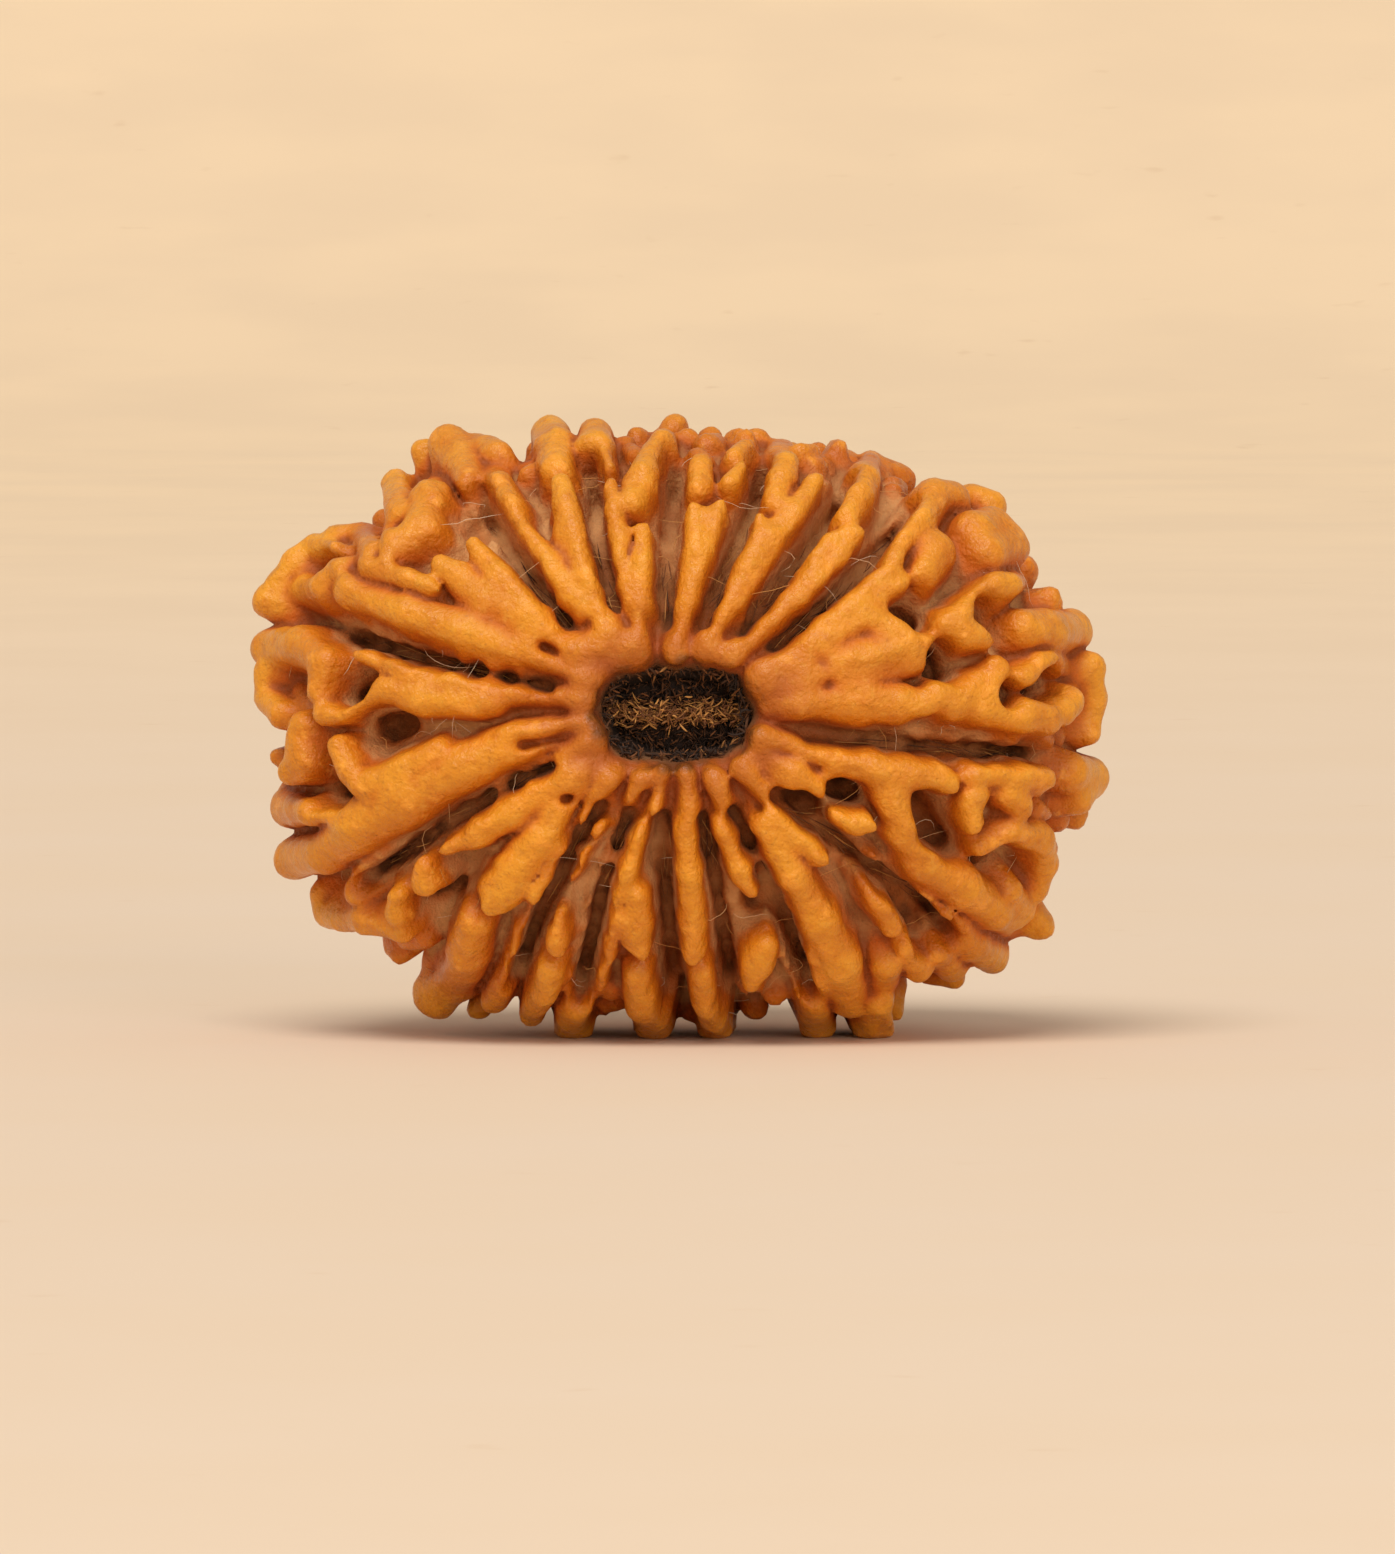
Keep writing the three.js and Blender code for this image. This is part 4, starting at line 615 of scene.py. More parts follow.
def knobs(ridges, grooves):
    """Low knobs in the wide valleys of the sides and back."""
    rng = np.random.default_rng(KNOBS["seed"])
    parts = [(a[0], b[0], max(a[1], b[1]) + KNOBS["clear"])
             for chain in ridges for a, b in walls_of(chain)]
    parts += [(a[0], b[0], KNOBS["groove_clear"]) for chain in grooves for a, b in walls_of(chain)]
    starts, ends, room = (np.array(part) for part in zip(*parts))
    found = []
    for _ in range(KNOBS["tries"]):
        azimuth, latitude = rng.uniform(-180, 180), rng.uniform(*KNOBS["latitudes"])
        radius, sink = rng.uniform(*KNOBS["radius"]), rng.uniform(*KNOBS["sink"])
        first = lobe_behind(azimuth, latitude, radius, sink)
        taper = rng.uniform(*KNOBS["taper"])
        last = lobe_behind(
            azimuth + rng.normal(0, KNOBS["lean"]), latitude + rng.uniform(*KNOBS["length"]),
            radius * taper, sink + radius * (1 - taper),
        )
        if first[0][2] < REST_Z + KNOBS["above_rest"]:
            continue
        runs = ends - starts
        length = np.maximum((runs**2).sum(1), 1e-9)
        for share in (0, 0.5, 1):
            p = first[0] + share * (last[0] - first[0])
            t = np.clip(((p - starts) * runs).sum(1) / length, 0, 1)[:, None]
            if (np.linalg.norm(p - starts - t * runs, axis=1) < room + radius).any():
                break
        else:
            found.append([first, last])
            starts, ends = np.vstack([starts, first[0]]), np.vstack([ends, last[0]])
            room = np.append(room, radius + KNOBS["clear"])
    return found


def walls_of(chain):
    return list(zip(chain, chain[1:])) or [(chain[0], chain[0])]


def dot(a, b):
    return a[0] * b[0] + a[1] * b[1] + a[2] * b[2]


class Field:
    """Distances on a grid round the whole bead."""

    def __init__(self):
        self.low = CENTRE - CREST - MARGIN
        self.count = np.ceil(2 * (CREST + MARGIN) / STEP).astype(int)
        self.axes = [
            (self.low[a] + STEP * np.arange(self.count[a])).astype(np.float32) for a in range(3)
        ]
        x, y, z = (self.axes[a] - CENTRE[a] for a in range(3))
        valley = rounded_distance(*np.ix_(x, y, z), CREST - RIDGE_RISE)
        self.valley = valley.astype(np.float32)

    def near(self, points, reach):
        """The part of the grid round some points, as slices and coordinates."""
        low = np.floor((np.min(points, 0) - reach - self.low) / STEP).astype(int)
        high = np.ceil((np.max(points, 0) + reach - self.low) / STEP).astype(int) + 1
        cut = tuple(
            slice(int(max(a, 0)), int(min(b, n))) for a, b, n in zip(low, high, self.count)
        )
        return cut, np.ix_(*(axis[part] for axis, part in zip(self.axes, cut)))

    def wall(self, start, end, outwards, flare):
        """Distance to one wall near it. A ridge reaches inwards, and a cut reaches outwards."""
        up = start[2] + end[2]
        up = up / np.linalg.norm(up)
        depth = 2 * WALL_DEPTH if outwards else -WALL_DEPTH
        corners = [start[0], end[0], start[0] + up * depth, end[0] + up * depth]
        reach = max(start[1], end[1]) + flare * abs(depth) + REACH
        cut, p = self.near(corners, reach)
        d = [p[a] - np.float32(start[0][a]) for a in range(3)]
        height = dot(d, up)
        along = np.clip(height, min(depth, 0), max(depth, 0))
        d = [d[a] - along * up[a] for a in range(3)]
        run = end[0] - start[0]
        length = max(run @ run, 1e-9)
        share = np.clip(dot(d, run) / length, 0, 1)
        d = [d[a] - share * run[a] for a in range(3)]
        radius = start[1] + (end[1] - start[1]) * share
        return cut, np.sqrt(dot(d, d)) - radius - flare * np.abs(along), np.abs(along)

    def at(self, grid, points):
        """A grid's values at points, between its corners."""
        q = (points - self.low) / STEP
        i = np.clip(np.floor(q).astype(int), 0, self.count - 2)
        f = q - i
        total = 0
        for corner in range(8):
            b = np.array([corner & 1, corner >> 1 & 1, corner >> 2])
            weight = np.prod(np.where(b, f, 1 - f), 1)
            total = total + weight * grid[i[:, 0] + b[0], i[:, 1] + b[1], i[:, 2] + b[2]]
        return total


def lumps(field, name):
    """Smooth random lumps on the grid."""
    size, height, seed = LUMPS[name]
    rng = np.random.default_rng(seed)
    spans = [field.axes[a] - field.axes[a][0] for a in range(3)]
    knots = [int(s[-1] / size) + 3 for s in spans]
    grid = rng.uniform(-1, 1, knots).astype(np.float32)
    for a in range(3):
        q = spans[a] / size
        i = np.floor(q).astype(int)
        shape = [1, 1, 1]
        shape[a] = len(i)
        f = eased(q - i).astype(np.float32).reshape(shape)
        grid = np.take(grid, i, a) * (1 - f) + np.take(grid, i + 1, a) * f
    return height * grid


def folds(field, name):
    """Fine random folds on the grid that run from mouth to mouth."""
    apart, length, height, seed = FOLDS[name]
    rng = np.random.default_rng(seed)
    x, z = field.axes[0][:, None] - CENTRE[0], field.axes[2][None, :] - CENTRE[2]
    rows = int(2 * (CREST[1] + MARGIN) / length) + 3
    turns = int(2 * math.pi * CREST[2] / apart)
    table = rng.uniform(-1, 1, (turns, rows)).astype(np.float32)
    out, ring, slant = np.hypot(x, z), FOLD_WAVES["ring"], FOLD_WAVES["slant"]
    wave = ring[0] * np.sin(out * ring[1]) + slant[0] * np.sin(slant[1] * x + slant[2] * z)
    q = (np.arctan2(z, x) / (2 * math.pi) + 0.5) * turns + wave
    i = np.floor(q).astype(int)
    f = eased(q - i)[..., None]
    rings = table[i % turns] * (1 - f) + table[(i + 1) % turns] * f
    rings *= ramp(out, *FOLD_FREE)[..., None]
    q = (field.axes[1] - field.axes[1][0]) / length
    i = np.floor(q).astype(int)
    f = eased(q - i)[None, :, None]
    rings = np.moveaxis(rings, 2, 1)
    return height * (rings[:, i] * (1 - f) + rings[:, i + 1] * f).astype(np.float32)


def blurred(grid, radius):
    """A box blur, this many cells each way."""
    for a in range(3):
        pad = [(0, 0)] * 3
        pad[a] = (radius + 1, radius)
        total = np.cumsum(np.pad(grid, pad, mode="edge"), a, dtype=np.float64)
        n = grid.shape[a]
        top = np.take(total, range(2 * radius + 1, 2 * radius + 1 + n), a)
        low = np.take(total, range(n), a)
        grid = ((top - low) / (2 * radius + 1)).astype(np.float32)
    return grid


def skin(field, values):
    """The closed skin where a grid's values change sign, without small loose bits."""
    grid = openvdb.FloatGrid(STEP)
    grid.copyFromArray(np.ascontiguousarray(values, np.float32))
    points, quads = grid.convertToQuads()
    quads = quads.astype(np.int64)
    label = np.arange(len(points))
    while True:
        low = label[quads].min(1)
        held = label.copy()
        for k in range(4):
            np.minimum.at(held, quads[:, k], low)
        held = held[held]
        if (held == label).all():
            break
        label = held
    body = np.bincount(label[quads[:, 0]]).argmax()
    quads = quads[label[quads[:, 0]] == body]
    used, quads = np.unique(quads, return_inverse=True)
    return points[used] * STEP + field.low, quads.reshape(-1, 4)[:, ::-1]


def add(name, data):
    thing = bpy.data.objects.new(name, data)
    bpy.context.scene.collection.objects.link(thing)
    return thing


def mesh_object(name, points, faces, attributes):
    """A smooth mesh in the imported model's frame, from points in millimetres."""
    moved = (points - [BOX_MIDDLE_X, 0, REST_Z]) * MM
    mesh = bpy.data.meshes.new(name)
    sides = faces.shape[1]
    mesh.vertices.add(len(moved))
    mesh.vertices.foreach_set("co", moved.astype(np.float32).ravel())
    mesh.loops.add(faces.size)
    mesh.loops.foreach_set("vertex_index", faces.astype(np.int32).ravel())
    mesh.polygons.add(len(faces))
    mesh.polygons.foreach_set("loop_start", np.arange(0, faces.size, sides, dtype=np.int32))
    mesh.update(calc_edges=True)
    mesh.polygons.foreach_set("use_smooth", np.ones(len(faces), bool))
    piece = add(name, mesh)
    keep(piece, attributes)
    return piece


def keep(piece, attributes):
    for key, value in attributes.items():
        held = piece.data.attributes.new(key, "FLOAT", "POINT")
        held.data.foreach_set("value", value.astype(np.float32))


def thinned(piece):
    """A piece with its mesh thinned to the most triangles it may keep, and its points."""
    modifier = piece.modifiers.new("thin", "DECIMATE")
    modifier.ratio = MOST_TRIANGLES / sum(len(p.vertices) - 2 for p in piece.data.polygons)
    shown = piece.evaluated_get(bpy.context.evaluated_depsgraph_get())
    mesh = bpy.data.meshes.new_from_object(shown)
    # The skin's faces look inwards until here.
    mesh.flip_normals()
    piece.modifiers.clear()
    piece.data = mesh
    points = np.empty(3 * len(mesh.vertices))
    mesh.vertices.foreach_get("co", points)
    return points.reshape(-1, 3) / MM + [BOX_MIDDLE_X, 0, REST_Z]


def smooth_most(a, b, blend):
    """The larger of two distances, rounded over where they are near each other."""
    return np.maximum(a, b) + blend * np.log1p(np.exp(-np.abs(a - b) / blend))


def stone_field(field):
    """Distances to the stone's skin, and to the nearest groove or pit."""
    grooves, pits = groove_chains(), [pit_chain(chain) for chain in PITS]
    floor = field.valley + lumps(field, "valley") + lumps(field, "fine_valley")
    floor += folds(field, "valley")
    nearest = np.full(floor.shape, REACH, np.float32)
    deep = []
    for chain in grooves + pits:
        for start, end in walls_of(chain):
            cut, d, height = field.wall(start, end, True, FLARE["cut"])
            fading = DIRT["fade"] * np.maximum(height - DIRT["above"], 0)
            nearest[cut] = np.minimum(nearest[cut], d + fading)
            if start[3] and end[3]:
                floor[cut] = np.maximum(floor[cut], -d)
            else:
                deep.append((cut, d))

    total = np.exp(-np.maximum(floor, DEEPEST) / BLEND)
    ridges = [tipped(chain) for chain in FRONT_RIDGES] + back_ridges()
    swellings = ridges + [collar(-1), collar(1)]
    parts = [(chain, FLARE["ridge"]) for chain in swellings]
    parts += [(chain, FLARE["knob"]) for chain in knobs(swellings, grooves)]
    for chain, flare in parts:
        for start, end in walls_of(chain):
            cut, d, _ = field.wall(start, end, False, flare)
            total[cut] += np.exp(-np.maximum(d, DEEPEST) / BLEND)
    solid = -BLEND * np.log(total + 1e-30)
    solid += lumps(field, "broad") + lumps(field, "middle")
    solid += lumps(field, "fine") + folds(field, "skin")

    uneven = lumps(field, "cut") + lumps(field, "fine_cut")
    for cut, d in deep:
        solid[cut] = smooth_most(solid[cut], -d + uneven[cut], ROUNDING["cut"])
    for chain in rim_creases(ridges, -1) + rim_creases(ridges, 1):
        cut, d, _ = field.wall(*chain, True, FLARE["crease"])
        solid[cut] = smooth_most(solid[cut], -d + uneven[cut], ROUNDING["crease"])

    x, y, z = np.ix_(*field.axes)
    across = mouth_level(x, z - pole_height(y))
    mouth = np.maximum((across - 1) * MOUTH["z"], MOUTH_FLOOR - np.abs(y))
    ragged = lumps(field, "mouth") + lumps(field, "fine_mouth")
    solid = smooth_most(solid, -mouth + ragged, ROUNDING["mouth"])
    for chain in FRONT_RIDGES:
        for start, end in over_rim(chain):
            cut, d, _ = field.wall(start, end, False, FLARE["ridge"])
            solid[cut] = -smooth_most(-solid[cut], -d - uneven[cut], ROUNDING["rim"])
    return np.maximum(solid, REST_Z - z).astype(np.float32), nearest


def stone_surface():
    """The stone's skin, with the values that its material follows at each point."""
    field = Field()
    solid, nearest = stone_field(field)
    stone = mesh_object("stone_surface", *skin(field, solid), {})
    points = thinned(stone)
    inside = (solid < 0).astype(np.float32)
    above = rounded_distance(*(points - CENTRE).T, CREST - RIDGE_RISE)
    below = rounded_distance(*(points - CENTRE).T, CREST)
    side, depth = np.abs(points[:, 0]), np.abs(points[:, 1])
    up = points[:, 2] - pole_height(points[:, 1])
    across = np.hypot(points[:, 0] / MOUTH["x"], up / MOUTH["z"])
    # Dirt fills the grooves beside the mouths and at the sides; the grooves are also darker towards
    # the bottom and lighter over the top.
    clean = ramp(across, *CLEAN["mouth"]) * ramp(side, *CLEAN["side"])
    clean *= np.clip(points[:, 2] / CLEAN["top"], CLEAN["least"], 1)
    throat = ramp(depth, *THROAT["depth"])
    # Of these values, rise sets painted light on the crests and painted shade on the flanks,
    # besides the dust; cavity, crevice and throat set painted shade in hollows, creases and down
    # the mouths.
    keep(stone, {
        "rise": above / np.maximum(above - below, LEAST_RISE),
        "cut": field.at(nearest, points) + CLEAN["gain"] * clean,
        "cavity": field.at(blurred(inside, CAVITY_CELLS), points),
        "crevice": field.at(blurred(inside, CREVICE_CELLS), points),
        "mouth": across + GIRDLE["far"] * (depth < GIRDLE["depth"]),
        "throat": throat * (across < THROAT["within"]) * (depth > THROAT["nearest"]),
    })
    return stone


class Shader:
    """The nodes of one material, each added where it is first used."""

    def __init__(self, name):
        self.material = bpy.data.materials.new(name)
        self.material.use_nodes = True
        self.tree = self.material.node_tree
        self.surface = self.tree.nodes["Principled BSDF"]
        self.place = self.tree.nodes.new("ShaderNodeTexCoord").outputs["Object"]

    def feed(self, socket, value):
        """Links a socket, or sets its value. A tuple is a colour."""
        if isinstance(value, bpy.types.NodeSocket):
            self.tree.links.new(value, socket)
        else:
            socket.default_value = (*value, 1) if isinstance(value, tuple) else value

    def set(self, **inputs):
        for name, value in inputs.items():
            self.feed(self.surface.inputs[name.replace("_", " ")], value)

    def node(self, kind, inputs, **settings):
        """A new node's outputs. Its inputs are given by name or place."""
        node = self.tree.nodes.new("ShaderNode" + kind)
        for name, value in settings.items():
            setattr(node, name, value)
        for place, value in inputs.items():
            self.feed(node.inputs[place], value)
        return node.outputs

    def attribute(self, name):
        return self.node("Attribute", {}, attribute_name=name)["Fac"]

    def math(self, operation, a, b):
        return self.node("Math", {0: a, 1: b}, operation=operation)[0]

    def times(self, *values):
        total = values[0]
        for value in values[1:]:
            total = self.math("MULTIPLY", total, value)
        return total

    def uneven(self, value, noise, amount):
        """A value made uneven by a noise."""
        return self.math("ADD", value, self.times(self.math("SUBTRACT", noise, 0.5), amount))

    def step(self, value, low, high, at_low=0.0, at_high=1.0):
        """A smooth step from one value to another while the input goes from low to high."""
        if low > high:
            low, high, at_low, at_high = high, low, at_high, at_low
        inputs = dict(enumerate((value, low, high, at_low, at_high)))
        return self.node("MapRange", inputs, interpolation_type="SMOOTHSTEP")[0]

    def mix(self, share, a, b):
        return self.node("Mix", {"Factor": share, 6: a, 7: b}, data_type="RGBA")[2]

    def layered(self, colour, layers):
        """A colour under layers, each a share and its own colour."""
        for share, over in layers:
            colour = self.mix(share, colour, over)
        return colour

    def noise(self, size, seed, detail=2.0, roughness=0.5):
        """Noise of about this size in millimetres, from 0 to 1."""
        return self.node("TexNoise", {
            "Vector": self.place, "W": float(seed), "Scale": 1 / (size * MM),
            "Detail": detail, "Roughness": roughness,
        }, noise_dimensions="4D")["Fac"]

    def bump(self, height, depth, under=None):
        """A bump of this depth in millimetres, over another one if there is any."""
        inputs = {"Height": height, "Distance": depth * MM}
        if under:
            inputs["Normal"] = under
        return self.node("Bump", inputs)["Normal"]


def stone_material():
    """Waxy orange ridges over dusty valleys, dark dirt in the grooves and a stain at the mouths,
    with painted light on the crests and painted shade on flanks, hollows, creases and round and
    down the mouths.
    """
    s = Shader("waxy_stone")
    rise, cut, cavity, crevice, mouth, throat = map(
        s.attribute, ("rise", "cut", "cavity", "crevice", "mouth", "throat")
    )
    patches, mottle, specks = s.noise(2.6, 1), s.noise(0.7, 2, 4), s.noise(0.16, 3, 2)
    grain = s.noise(0.32, 15, 5, 0.6)
    height, dirt = s.uneven(rise, mottle, 0.45), s.uneven(cut, mottle, 0.7)
    # Painted light: ridge crests are made lighter and yellower where they stand high and open, less
    # so beside the mouths.
    painted_crest_light = s.times(
        s.step(height, 0.62, 1.08), s.step(cavity, 0.62, 0.42, 0.3, 1),
        s.step(mouth, 1.5, 3.4, 0.4, 1), s.step(patches, 0.3, 0.6, 0.6, 1),
    )
    # Painted highlights: bright yellow patches on open surfaces, away from the hollows.
    painted_highlights = s.times(s.step(mottle, 0.46, 0.3), s.step(cavity, 0.5, 0.4), 0.6)
    # Painted shade: a darker red round each mouth, stronger in its hollows.
    painted_mouth_shade = s.times(s.step(mouth, 2.4, 1.2), s.step(cavity, 0.38, 0.58, 0.5, 0.95))
    # A dark stain at each mouth's rim, and painted shade where the rim turns down into the mouth.
    rim_stain_and_shade = s.step(s.uneven(mouth, mottle, 0.9), 1.3, 0.95)
    dust = s.times(
        s.step(s.uneven(rise, mottle, 0.7), 0.55, 0.2), s.step(mouth, 1.9, 2.8, 0.3, 1),
        s.step(patches, 0.3, 0.6, 0.3, 0.85), s.step(cut, 0.1, 0.5, 0.3, 1.0),
    )
    dark = s.times(s.step(dirt, 0.2, -0.04), s.step(patches, 0.35, 0.55, 0.5, 1.0))
    wax = s.mix(s.step(patches, 0.35, 0.65), (0.56, 0.140, 0.005), (0.70, 0.205, 0.007))
    colour = s.layered(wax, [
        # Painted light on the crests.
        (s.times(painted_crest_light, 0.9), (0.76, 0.325, 0.022)),
        (s.step(grain, 0.5, 0.72, 0, 0.35), (0.55, 0.13, 0.005)),
        (s.step(grain, 0.48, 0.28, 0, 0.4), (0.80, 0.39, 0.055)),
        # Painted shade: the lower flanks of the ridges darker than their tops.
        (s.step(height, 0.9, 0.35, 0, 0.95), (0.47, 0.108, 0.006)),
        # Painted shade in the hollows, with some darker staining there, darkest in the deepest
        # hollows.
        (s.step(cavity, 0.47, 0.68), (0.54, 0.115, 0.004)),
        (s.step(cavity, 0.62, 0.8, 0, 0.75), (0.17, 0.042, 0.006)),
        (s.step(mottle, 0.5, 0.7, 0, 0.35), (0.48, 0.12, 0.008)),
        # Painted highlights.
        (painted_highlights, (0.90, 0.37, 0.04)),
        (s.step(specks, 0.58, 0.75, 0, 0.25), (0.24, 0.06, 0.01)),
        # Painted shade in the fine creases where ridges meet.
        (s.step(crevice, 0.53, 0.68, 0, 0.85), (0.28, 0.060, 0.005)),
        # Painted shade round the mouths.
        (painted_mouth_shade, (0.36, 0.08, 0.015)),
        # The stain at the rims, with painted shade into the mouths.
        (s.times(rim_stain_and_shade, 0.8), (0.09, 0.028, 0.010)),
        (dust, s.mix(mottle, (0.48, 0.23, 0.075), (0.86, 0.50, 0.22))),
        (s.times(s.step(dirt, 0.45, 0.05), 0.35), (0.26, 0.08, 0.014)),
        (s.times(dark, 0.9), s.mix(mottle, (0.042, 0.014, 0.004), (0.19, 0.062, 0.017))),
        # Painted shade: near black down each mouth's wall.
        (throat, (0.018, 0.008, 0.004)),
    ])
    dull = s.math("MAXIMUM", s.math("MAXIMUM", dust, dark), throat)
    rough = s.uneven(s.step(cavity, 0.38, 0.6, 0.31, 0.6), grain, 0.3)
    rough = s.math("ADD", rough, s.times(dull, 0.5))
    coarse = s.bump(s.noise(0.7, 4, 3, 0.5), 0.22)
    fine = s.bump(s.noise(0.16, 5, 3, 0.6), 0.07, coarse)
    s.set(Base_Color=colour, Roughness=rough, Normal=fine, Specular_IOR_Level=0.32)
    return s.material


def fibre_material():
    """Dried fibre from nearly black through golden brown to the pale grey of lint."""
    s = Shader("dried_fibre")
    shade = s.attribute("shade")
    colour = s.layered((0.022, 0.009, 0.004), [
        (s.step(shade, 0.1, 0.6), (0.20, 0.07, 0.018)),
        (s.step(shade, 0.6, 1.0), (0.62, 0.30, 0.08)),
        (s.step(shade, 1.0, 1.5), (0.72, 0.56, 0.40)),
    ])
    s.set(Base_Color=colour, Roughness=0.8, Normal=s.bump(s.noise(0.08, 6, 3), 0.03))
    return s.material


def unit(vectors):
    return vectors / np.linalg.norm(vectors, axis=-1, keepdims=True)


def strands(name, fibres):
    """Thin tapering strands in one mesh, each given as a bent path, a width and a shade."""
    sides = STRAND["sides"]
    k = np.arange(sides)
    turn = 2 * np.pi * k / sides
    points, faces, shades, first = [], [], [], 0
    for path, width, shade in fibres:
        path = np.asarray(path)
        run = unit(np.gradient(path, axis=0))
        side = unit(np.cross(run, STRAND["across"]))
        other = np.cross(run, side)
        along = np.linspace(-1, 1, len(path))
        radius = width * (1 - STRAND["taper"] * along**4)
        ring = np.cos(turn)[:, None] * side[:, None] + np.sin(turn)[:, None] * other[:, None]
        points.append((path[:, None] + radius[:, None, None] * ring).reshape(-1, 3))
        shades.append(np.full(len(points[-1]), shade))
        for i in range(len(path) - 1):
            a, b = first + i * sides, first + (i + 1) * sides
            faces.append(np.stack([a + k, a + (k + 1) % sides, b + (k + 1) % sides, b + k], 1))
        last = first + (len(path) - 1) * sides
        faces.append(np.array([first + k[::-1], last + k]))
        first = last + sides
    points, faces, shades = (np.concatenate(part) for part in (points, faces, shades))
    return mesh_object(name, points, faces, {"shade": shades})


def mouth_fibre(side, seed):
    """Matted chips with a paler band sideways across a mouth, and strands round its wall."""
    rng = np.random.default_rng(seed)
    pole = pole_height(side)
    t = np.linspace(-0.5, 0.5, 5)
    flat_x, flat_z = CHIPS["flatter"]
    for name, kind in CHIP_KINDS.items():
        for _ in range(kind["count"]):
            x = rng.uniform(-CHIPS["x"], CHIPS["x"])
            if name == "band":
                z = np.clip(rng.normal(0.0, CHIPS["spread"]), -CHIPS["z"], CHIPS["z"])
            else:
                z = rng.uniform(-CHIPS["z"], CHIPS["z"])
            bulge = 1 - flat_x * (x / CHIPS["edge_x"]) ** 2 - flat_z * (z / CHIPS["edge_z"]) ** 2
            depth = FIBRE_FLOOR + CHIPS["root"] + bulge * rng.uniform(*kind["rise"])
            lean = rng.normal(0, kind["lean"])
            length = rng.uniform(*CHIPS["length"])
            bend, tip = rng.normal(0, CHIPS["bend"]), rng.normal(0, CHIPS["tip"])
            path = np.stack([
                np.clip(x + t * length * math.cos(lean), -CHIPS["edge_x"], CHIPS["edge_x"]),
                side * (depth + 0.3 * tip * t + 0.4 * bend * t * t),
                pole + z + t * length * math.sin(lean) + 0.5 * bend * t * t,
            ], 1)
            yield path, rng.uniform(*CHIPS["width"]), rng.uniform(*kind["shade"])
    for _ in range(WALL_STRANDS["count"]):
        turn, level = rng.uniform(0, 2 * math.pi), rng.uniform(*WALL_STRANDS["level"])
        x, z = math.cos(turn), math.sin(turn)
        level /= mouth_level(x, z)
        reach = rng.uniform(*WALL_STRANDS["reach"])
        way = unit(rng.normal(0, 1, 3) * WALL_STRANDS["way"]) * reach
        height = FIBRE_FLOOR + rng.uniform(*WALL_STRANDS["height"])
        middle = np.array([x * level, side * height, pole + z * level])
        bend = rng.normal(0, WALL_STRANDS["bend"], 3)
        path = middle + way * 2 * t[:, None] + bend * t[:, None] ** 2
        width = rng.uniform(*WALL_STRANDS["width"])
        tone = "dark" if rng.uniform() < WALL_STRANDS["dark_share"] else "pale"
        yield path, width, rng.uniform(*WALL_STRANDS[tone])


def groove_fibre():
    """Short dark strands along the grooves, few where the grooves are clean."""
    rng = np.random.default_rng(GROOVE_STRANDS["seed"])
    low, high = GROOVE_STRANDS["height"]
    count, wave = GROOVE_STRANDS["points"], GROOVE_STRANDS["bend"]
    across_t = np.linspace(-1, 1, count)
    for chain in groove_chains():
        centres, _, normals, _ = zip(*chain)
        centres, normals, where = np.array(centres), np.array(normals), np.arange(len(chain))
        for _ in range(GROOVE_STRANDS["tries"]):
            start = rng.uniform(0, len(chain) - 2)
            middle = centres[int(start)]
            level = mouth_level(middle[0], middle[2] - pole_height(middle[1]))
            if (level > rng.uniform(*GROOVE_STRANDS["mouth"])
                    and abs(middle[0]) < rng.uniform(*GROOVE_STRANDS["side"])):
                continue
            length = rng.uniform(*GROOVE_STRANDS["length"])
            t = np.clip(start + np.linspace(0, length, count), 0, len(chain) - 1)
            path = np.stack([np.interp(t, where, centres[:, a]) for a in range(3)], 1)
            out = np.stack([np.interp(t, where, normals[:, a]) for a in range(3)], 1)
            across = unit(np.cross(path[-1] - path[0], out[0]))
            sway = rng.uniform(-GROOVE_STRANDS["sway"], GROOVE_STRANDS["sway"])
            sway = sway + rng.normal(0, wave) * across_t
            height = rng.uniform(low, high) + rng.normal(0, wave) * across_t**2
            path = path + across * sway[:, None] + out * height[:, None]
            width = rng.uniform(*GROOVE_STRANDS["width"])
            yield path, width, rng.uniform(*GROOVE_STRANDS["shade"])


def lint():
    """Fine pale hairs that lie across the valleys."""
    rng = np.random.default_rng(LINT["seed"])
    spans = LINT["points"] - 1
    for _ in range(LINT["count"]):
        azimuth = rng.uniform(-180, 180)
        latitude = rng.uniform(-LINT["latitude"], LINT["latitude"])
        way, bend = rng.uniform(0, 2 * math.pi), rng.normal(0, LINT["bend"])
        length, sink = rng.uniform(*LINT["length"]), rng.uniform(*LINT["sink"])
        path = []
        for _ in range(LINT["points"]):
            path.append(lobe_behind(azimuth, latitude, 0, sink)[0])
            round_ = max(math.cos(math.radians(latitude)), LINT["least_round"])
            azimuth += length / spans * math.cos(way) / round_
            latitude += length / spans * math.sin(way)
            way += 2 * bend / spans
            sink += rng.normal(0, LINT["drift"])
        yield path, rng.uniform(*LINT["width"]), rng.uniform(*LINT["shade"])


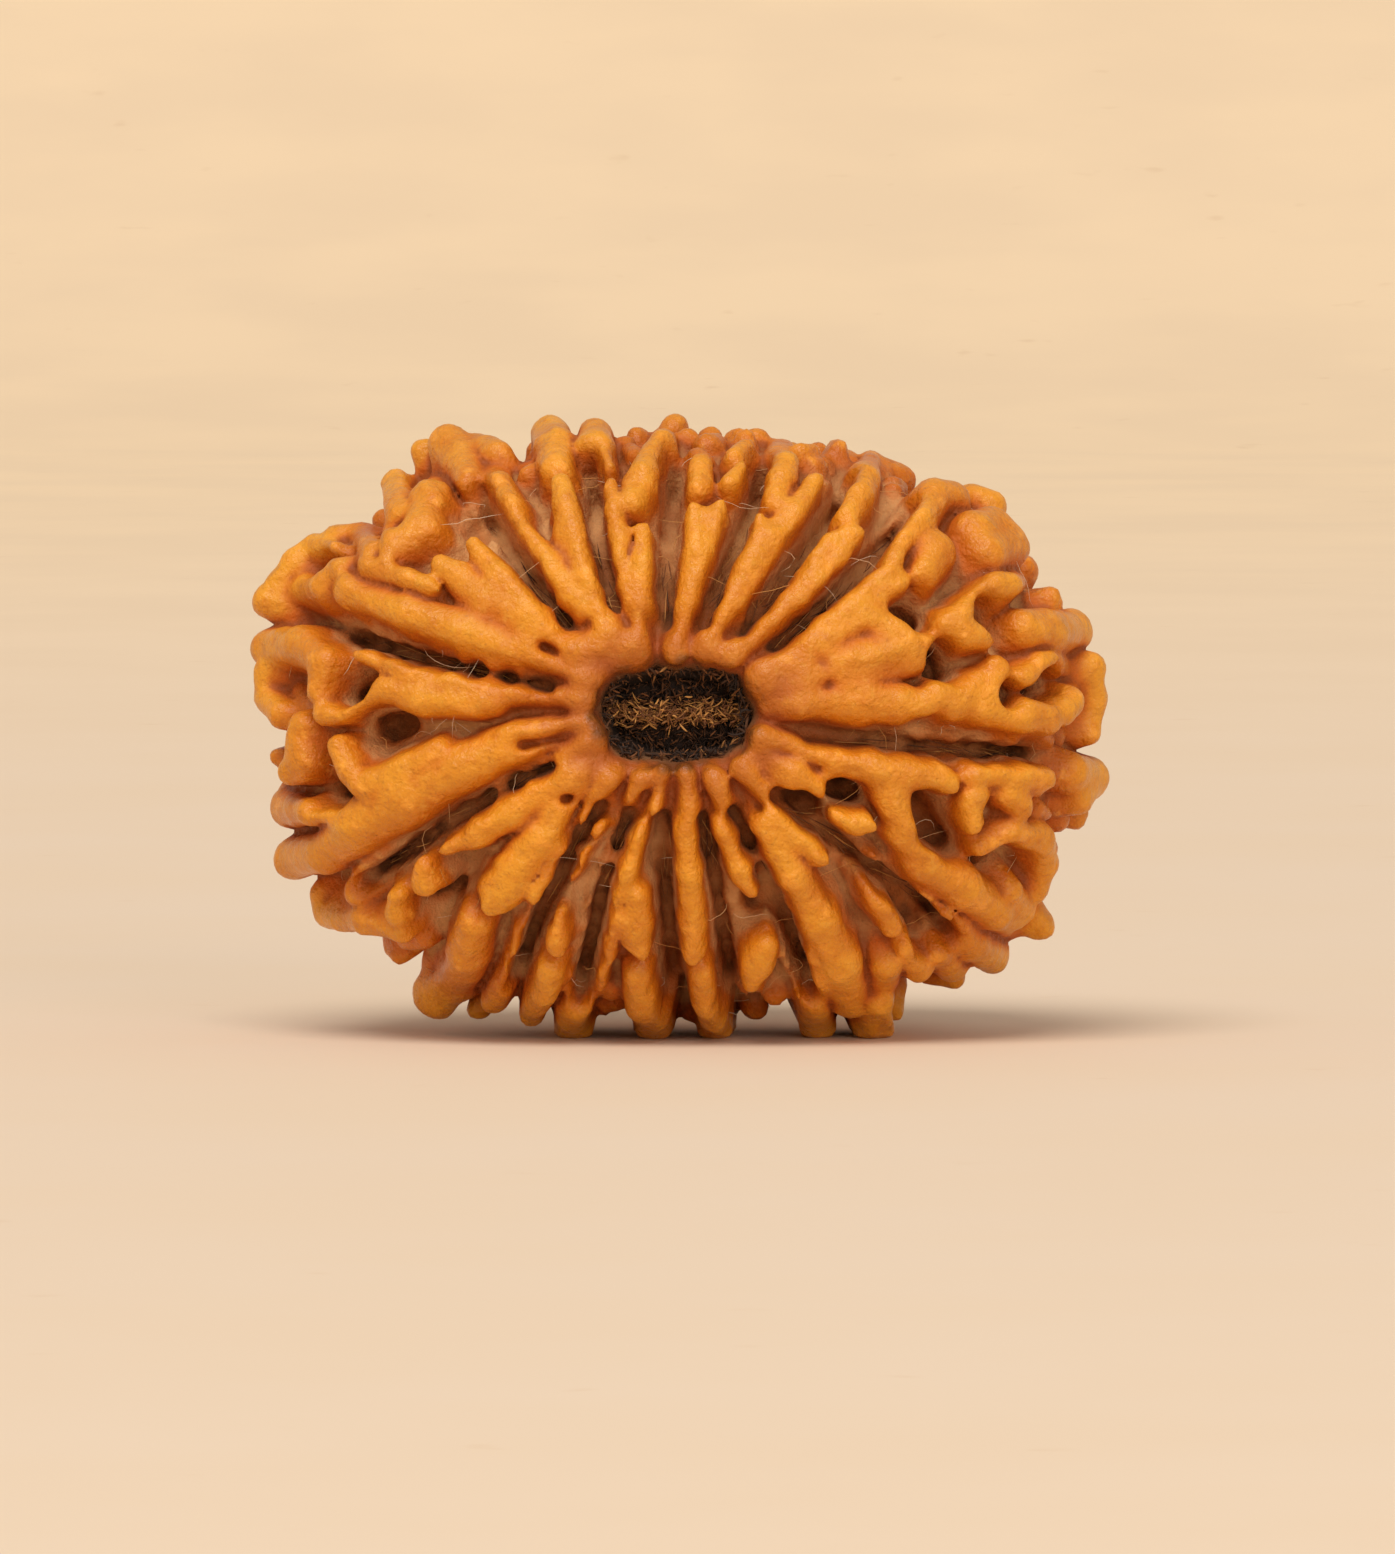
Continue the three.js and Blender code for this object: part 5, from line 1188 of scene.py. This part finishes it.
def bed(name, side, seed):
    """The dark lumpy bed under a mouth's strands: a closed lens with a pole at each end."""
    rng = np.random.default_rng(seed)
    turns, rings = BED["turns"], BED["rings"]
    pole = pole_height(side)
    top, under = MOUTH_FLOOR + BED["height"], side * (MOUTH_FLOOR - BED["under"])

    def corner(share):
        return math.copysign(abs(share) ** BED["corner"], share)

    points, shades = [], []
    for i in range(1, rings + 1):
        share = i / rings
        for k in range(turns):
            a = 2 * math.pi * k / turns
            x = (MOUTH["x"] + BED["wider"]) * share * corner(math.cos(a))
            z = (MOUTH["z"] + BED["wider"]) * share * corner(math.sin(a))
            y = top + BED["bulge"] * (1 - share**2) + rng.uniform(-BED["lumps"], BED["lumps"])
            points.append((x, side * y, pole + z))
            shades.append(rng.uniform(0, BED["shade"]))
    points += [(x * BED["narrower"], under, z) for x, _, z in points[-turns:]]
    front, back = len(points), len(points) + 1
    points += [(0, side * (top + BED["bulge"]), pole), (0, under, pole)]
    shades += [0] * (turns + 2)
    faces = []
    for k in range(turns):
        n = (k + 1) % turns
        faces += [(front, n, k), (back, rings * turns + k, rings * turns + n)]
        for i in range(rings):
            a, b = i * turns, (i + 1) * turns
            faces += [(a + k, a + n, b + n), (a + k, b + n, b + k)]
    faces = np.array(faces)[:, ::side]
    return mesh_object(name, np.array(points), faces, {"shade": np.array(shades)})


def aim(thing, place, target):
    thing.location = place
    thing.rotation_euler = (Vector(target) - Vector(place)).to_track_quat("-Z", "Y").to_euler()


def area_light(name, place, target, size, power, colour):
    data = bpy.data.lights.new(name, "AREA")
    data.shape = "ELLIPSE"
    data.size, data.size_y = size
    data.energy = power
    data.color = colour
    aim(add(name, data), place, target)


def backdrop():
    """A level floor that rises gently all round, far out, so that no view sees its edge."""
    profile = [(radius, 0.0) for radius in FLOOR["level"]]
    (radius, height), slope = profile[-1], 0.0
    while radius < FLOOR["end"]:
        slope = min(slope + FLOOR["steepen"], FLOOR["steepest"])
        radius, height = radius + FLOOR["stride"], height + FLOOR["stride"] * slope
        profile.append((radius, height))
    turns = FLOOR["turns"]
    points, faces = [(0, 0, 0)], [(0, k + 1, (k + 1) % turns + 1) for k in range(turns)]
    for i, (radius, height) in enumerate(profile):
        for k in range(turns):
            a = 2 * math.pi * k / turns
            points.append((radius * math.cos(a), radius * math.sin(a), height))
            if i:
                n, here, before = (k + 1) % turns, 1 + i * turns, 1 + (i - 1) * turns
                faces.append((before + k, here + k, here + n, before + n))
    mesh = bpy.data.meshes.new("backdrop")
    mesh.from_pydata(points, [], faces)
    mesh.shade_smooth()

    s = Shader("cream_paper")
    outwards = s.node("VectorMath", {0: s.place}, operation="LENGTH")["Value"]
    clouds, spots = s.noise(22, 11, 3), s.noise(4, 12, 2)
    colour = s.layered((0.78, 0.625, 0.48), [
        (s.step(outwards, *FLOOR["tones"]), (0.91, 0.70, 0.47)),
        (s.step(clouds, 0.3, 0.7, 0, 0.35), (0.78, 0.60, 0.42)),
        (s.step(spots, 0.66, 0.8, 0, 0.25), (0.62, 0.40, 0.22)),
    ])
    s.set(Base_Color=colour, Roughness=0.9)
    mesh.materials.append(s.material)
    return add("backdrop", mesh)


pieces = [
    (stone_surface(), "stone", "stone"),
    (bed("front_bed", -1, 31), "fibre", "fibre_plug_front"),
    (strands("front_strands", mouth_fibre(-1, 32)), "fibre", "fibre_plug_front"),
    (bed("back_bed", 1, 33), "fibre", "fibre_plug_back"),
    (strands("back_strands", mouth_fibre(1, 34)), "fibre", "fibre_plug_back"),
    (strands("groove_fibre", groove_fibre()), "fibre", None),
    (strands("lint", lint()), "fibre", None),
]
materials = {"stone": stone_material(), "fibre": fibre_material()}
for piece, slot, node in pieces:
    piece.data.materials.append(materials[slot])
    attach(piece, "root")
    if node:
        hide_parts(node)

backdrop()

scene = bpy.context.scene
lens = bpy.data.cameras.new("camera")
lens.sensor_width = SENSOR_MM
lens.lens = SENSOR_MM * DISTANCE / VIEW_WIDTH
lens.clip_end = CLIP_END
camera = add("camera", lens)
aim(camera, TARGET + DISTANCE * Vector((0, -math.cos(ELEVATION), math.sin(ELEVATION))), TARGET)
scene.camera = camera

area_light(
    "key", place=(-0.64, -2.24, 3.8), target=(0, 0, 0.01), size=(3.2, 2.4), power=142.0,
    colour=(1.0, 0.96, 0.90),
)
area_light(
    "front", place=(0.53, -1.35, 0.45), target=(0, 0, 0.012), size=(0.9, 0.6), power=4.5,
    colour=(1.0, 0.96, 0.92),
)
world = bpy.data.worlds.new("room")
world.use_nodes = True
glow = world.node_tree.nodes["Background"].inputs
glow["Color"].default_value = (1.0, 0.93, 0.84, 1)
glow["Strength"].default_value = 0.46
scene.world = world
scene.view_settings.view_transform = "Standard"
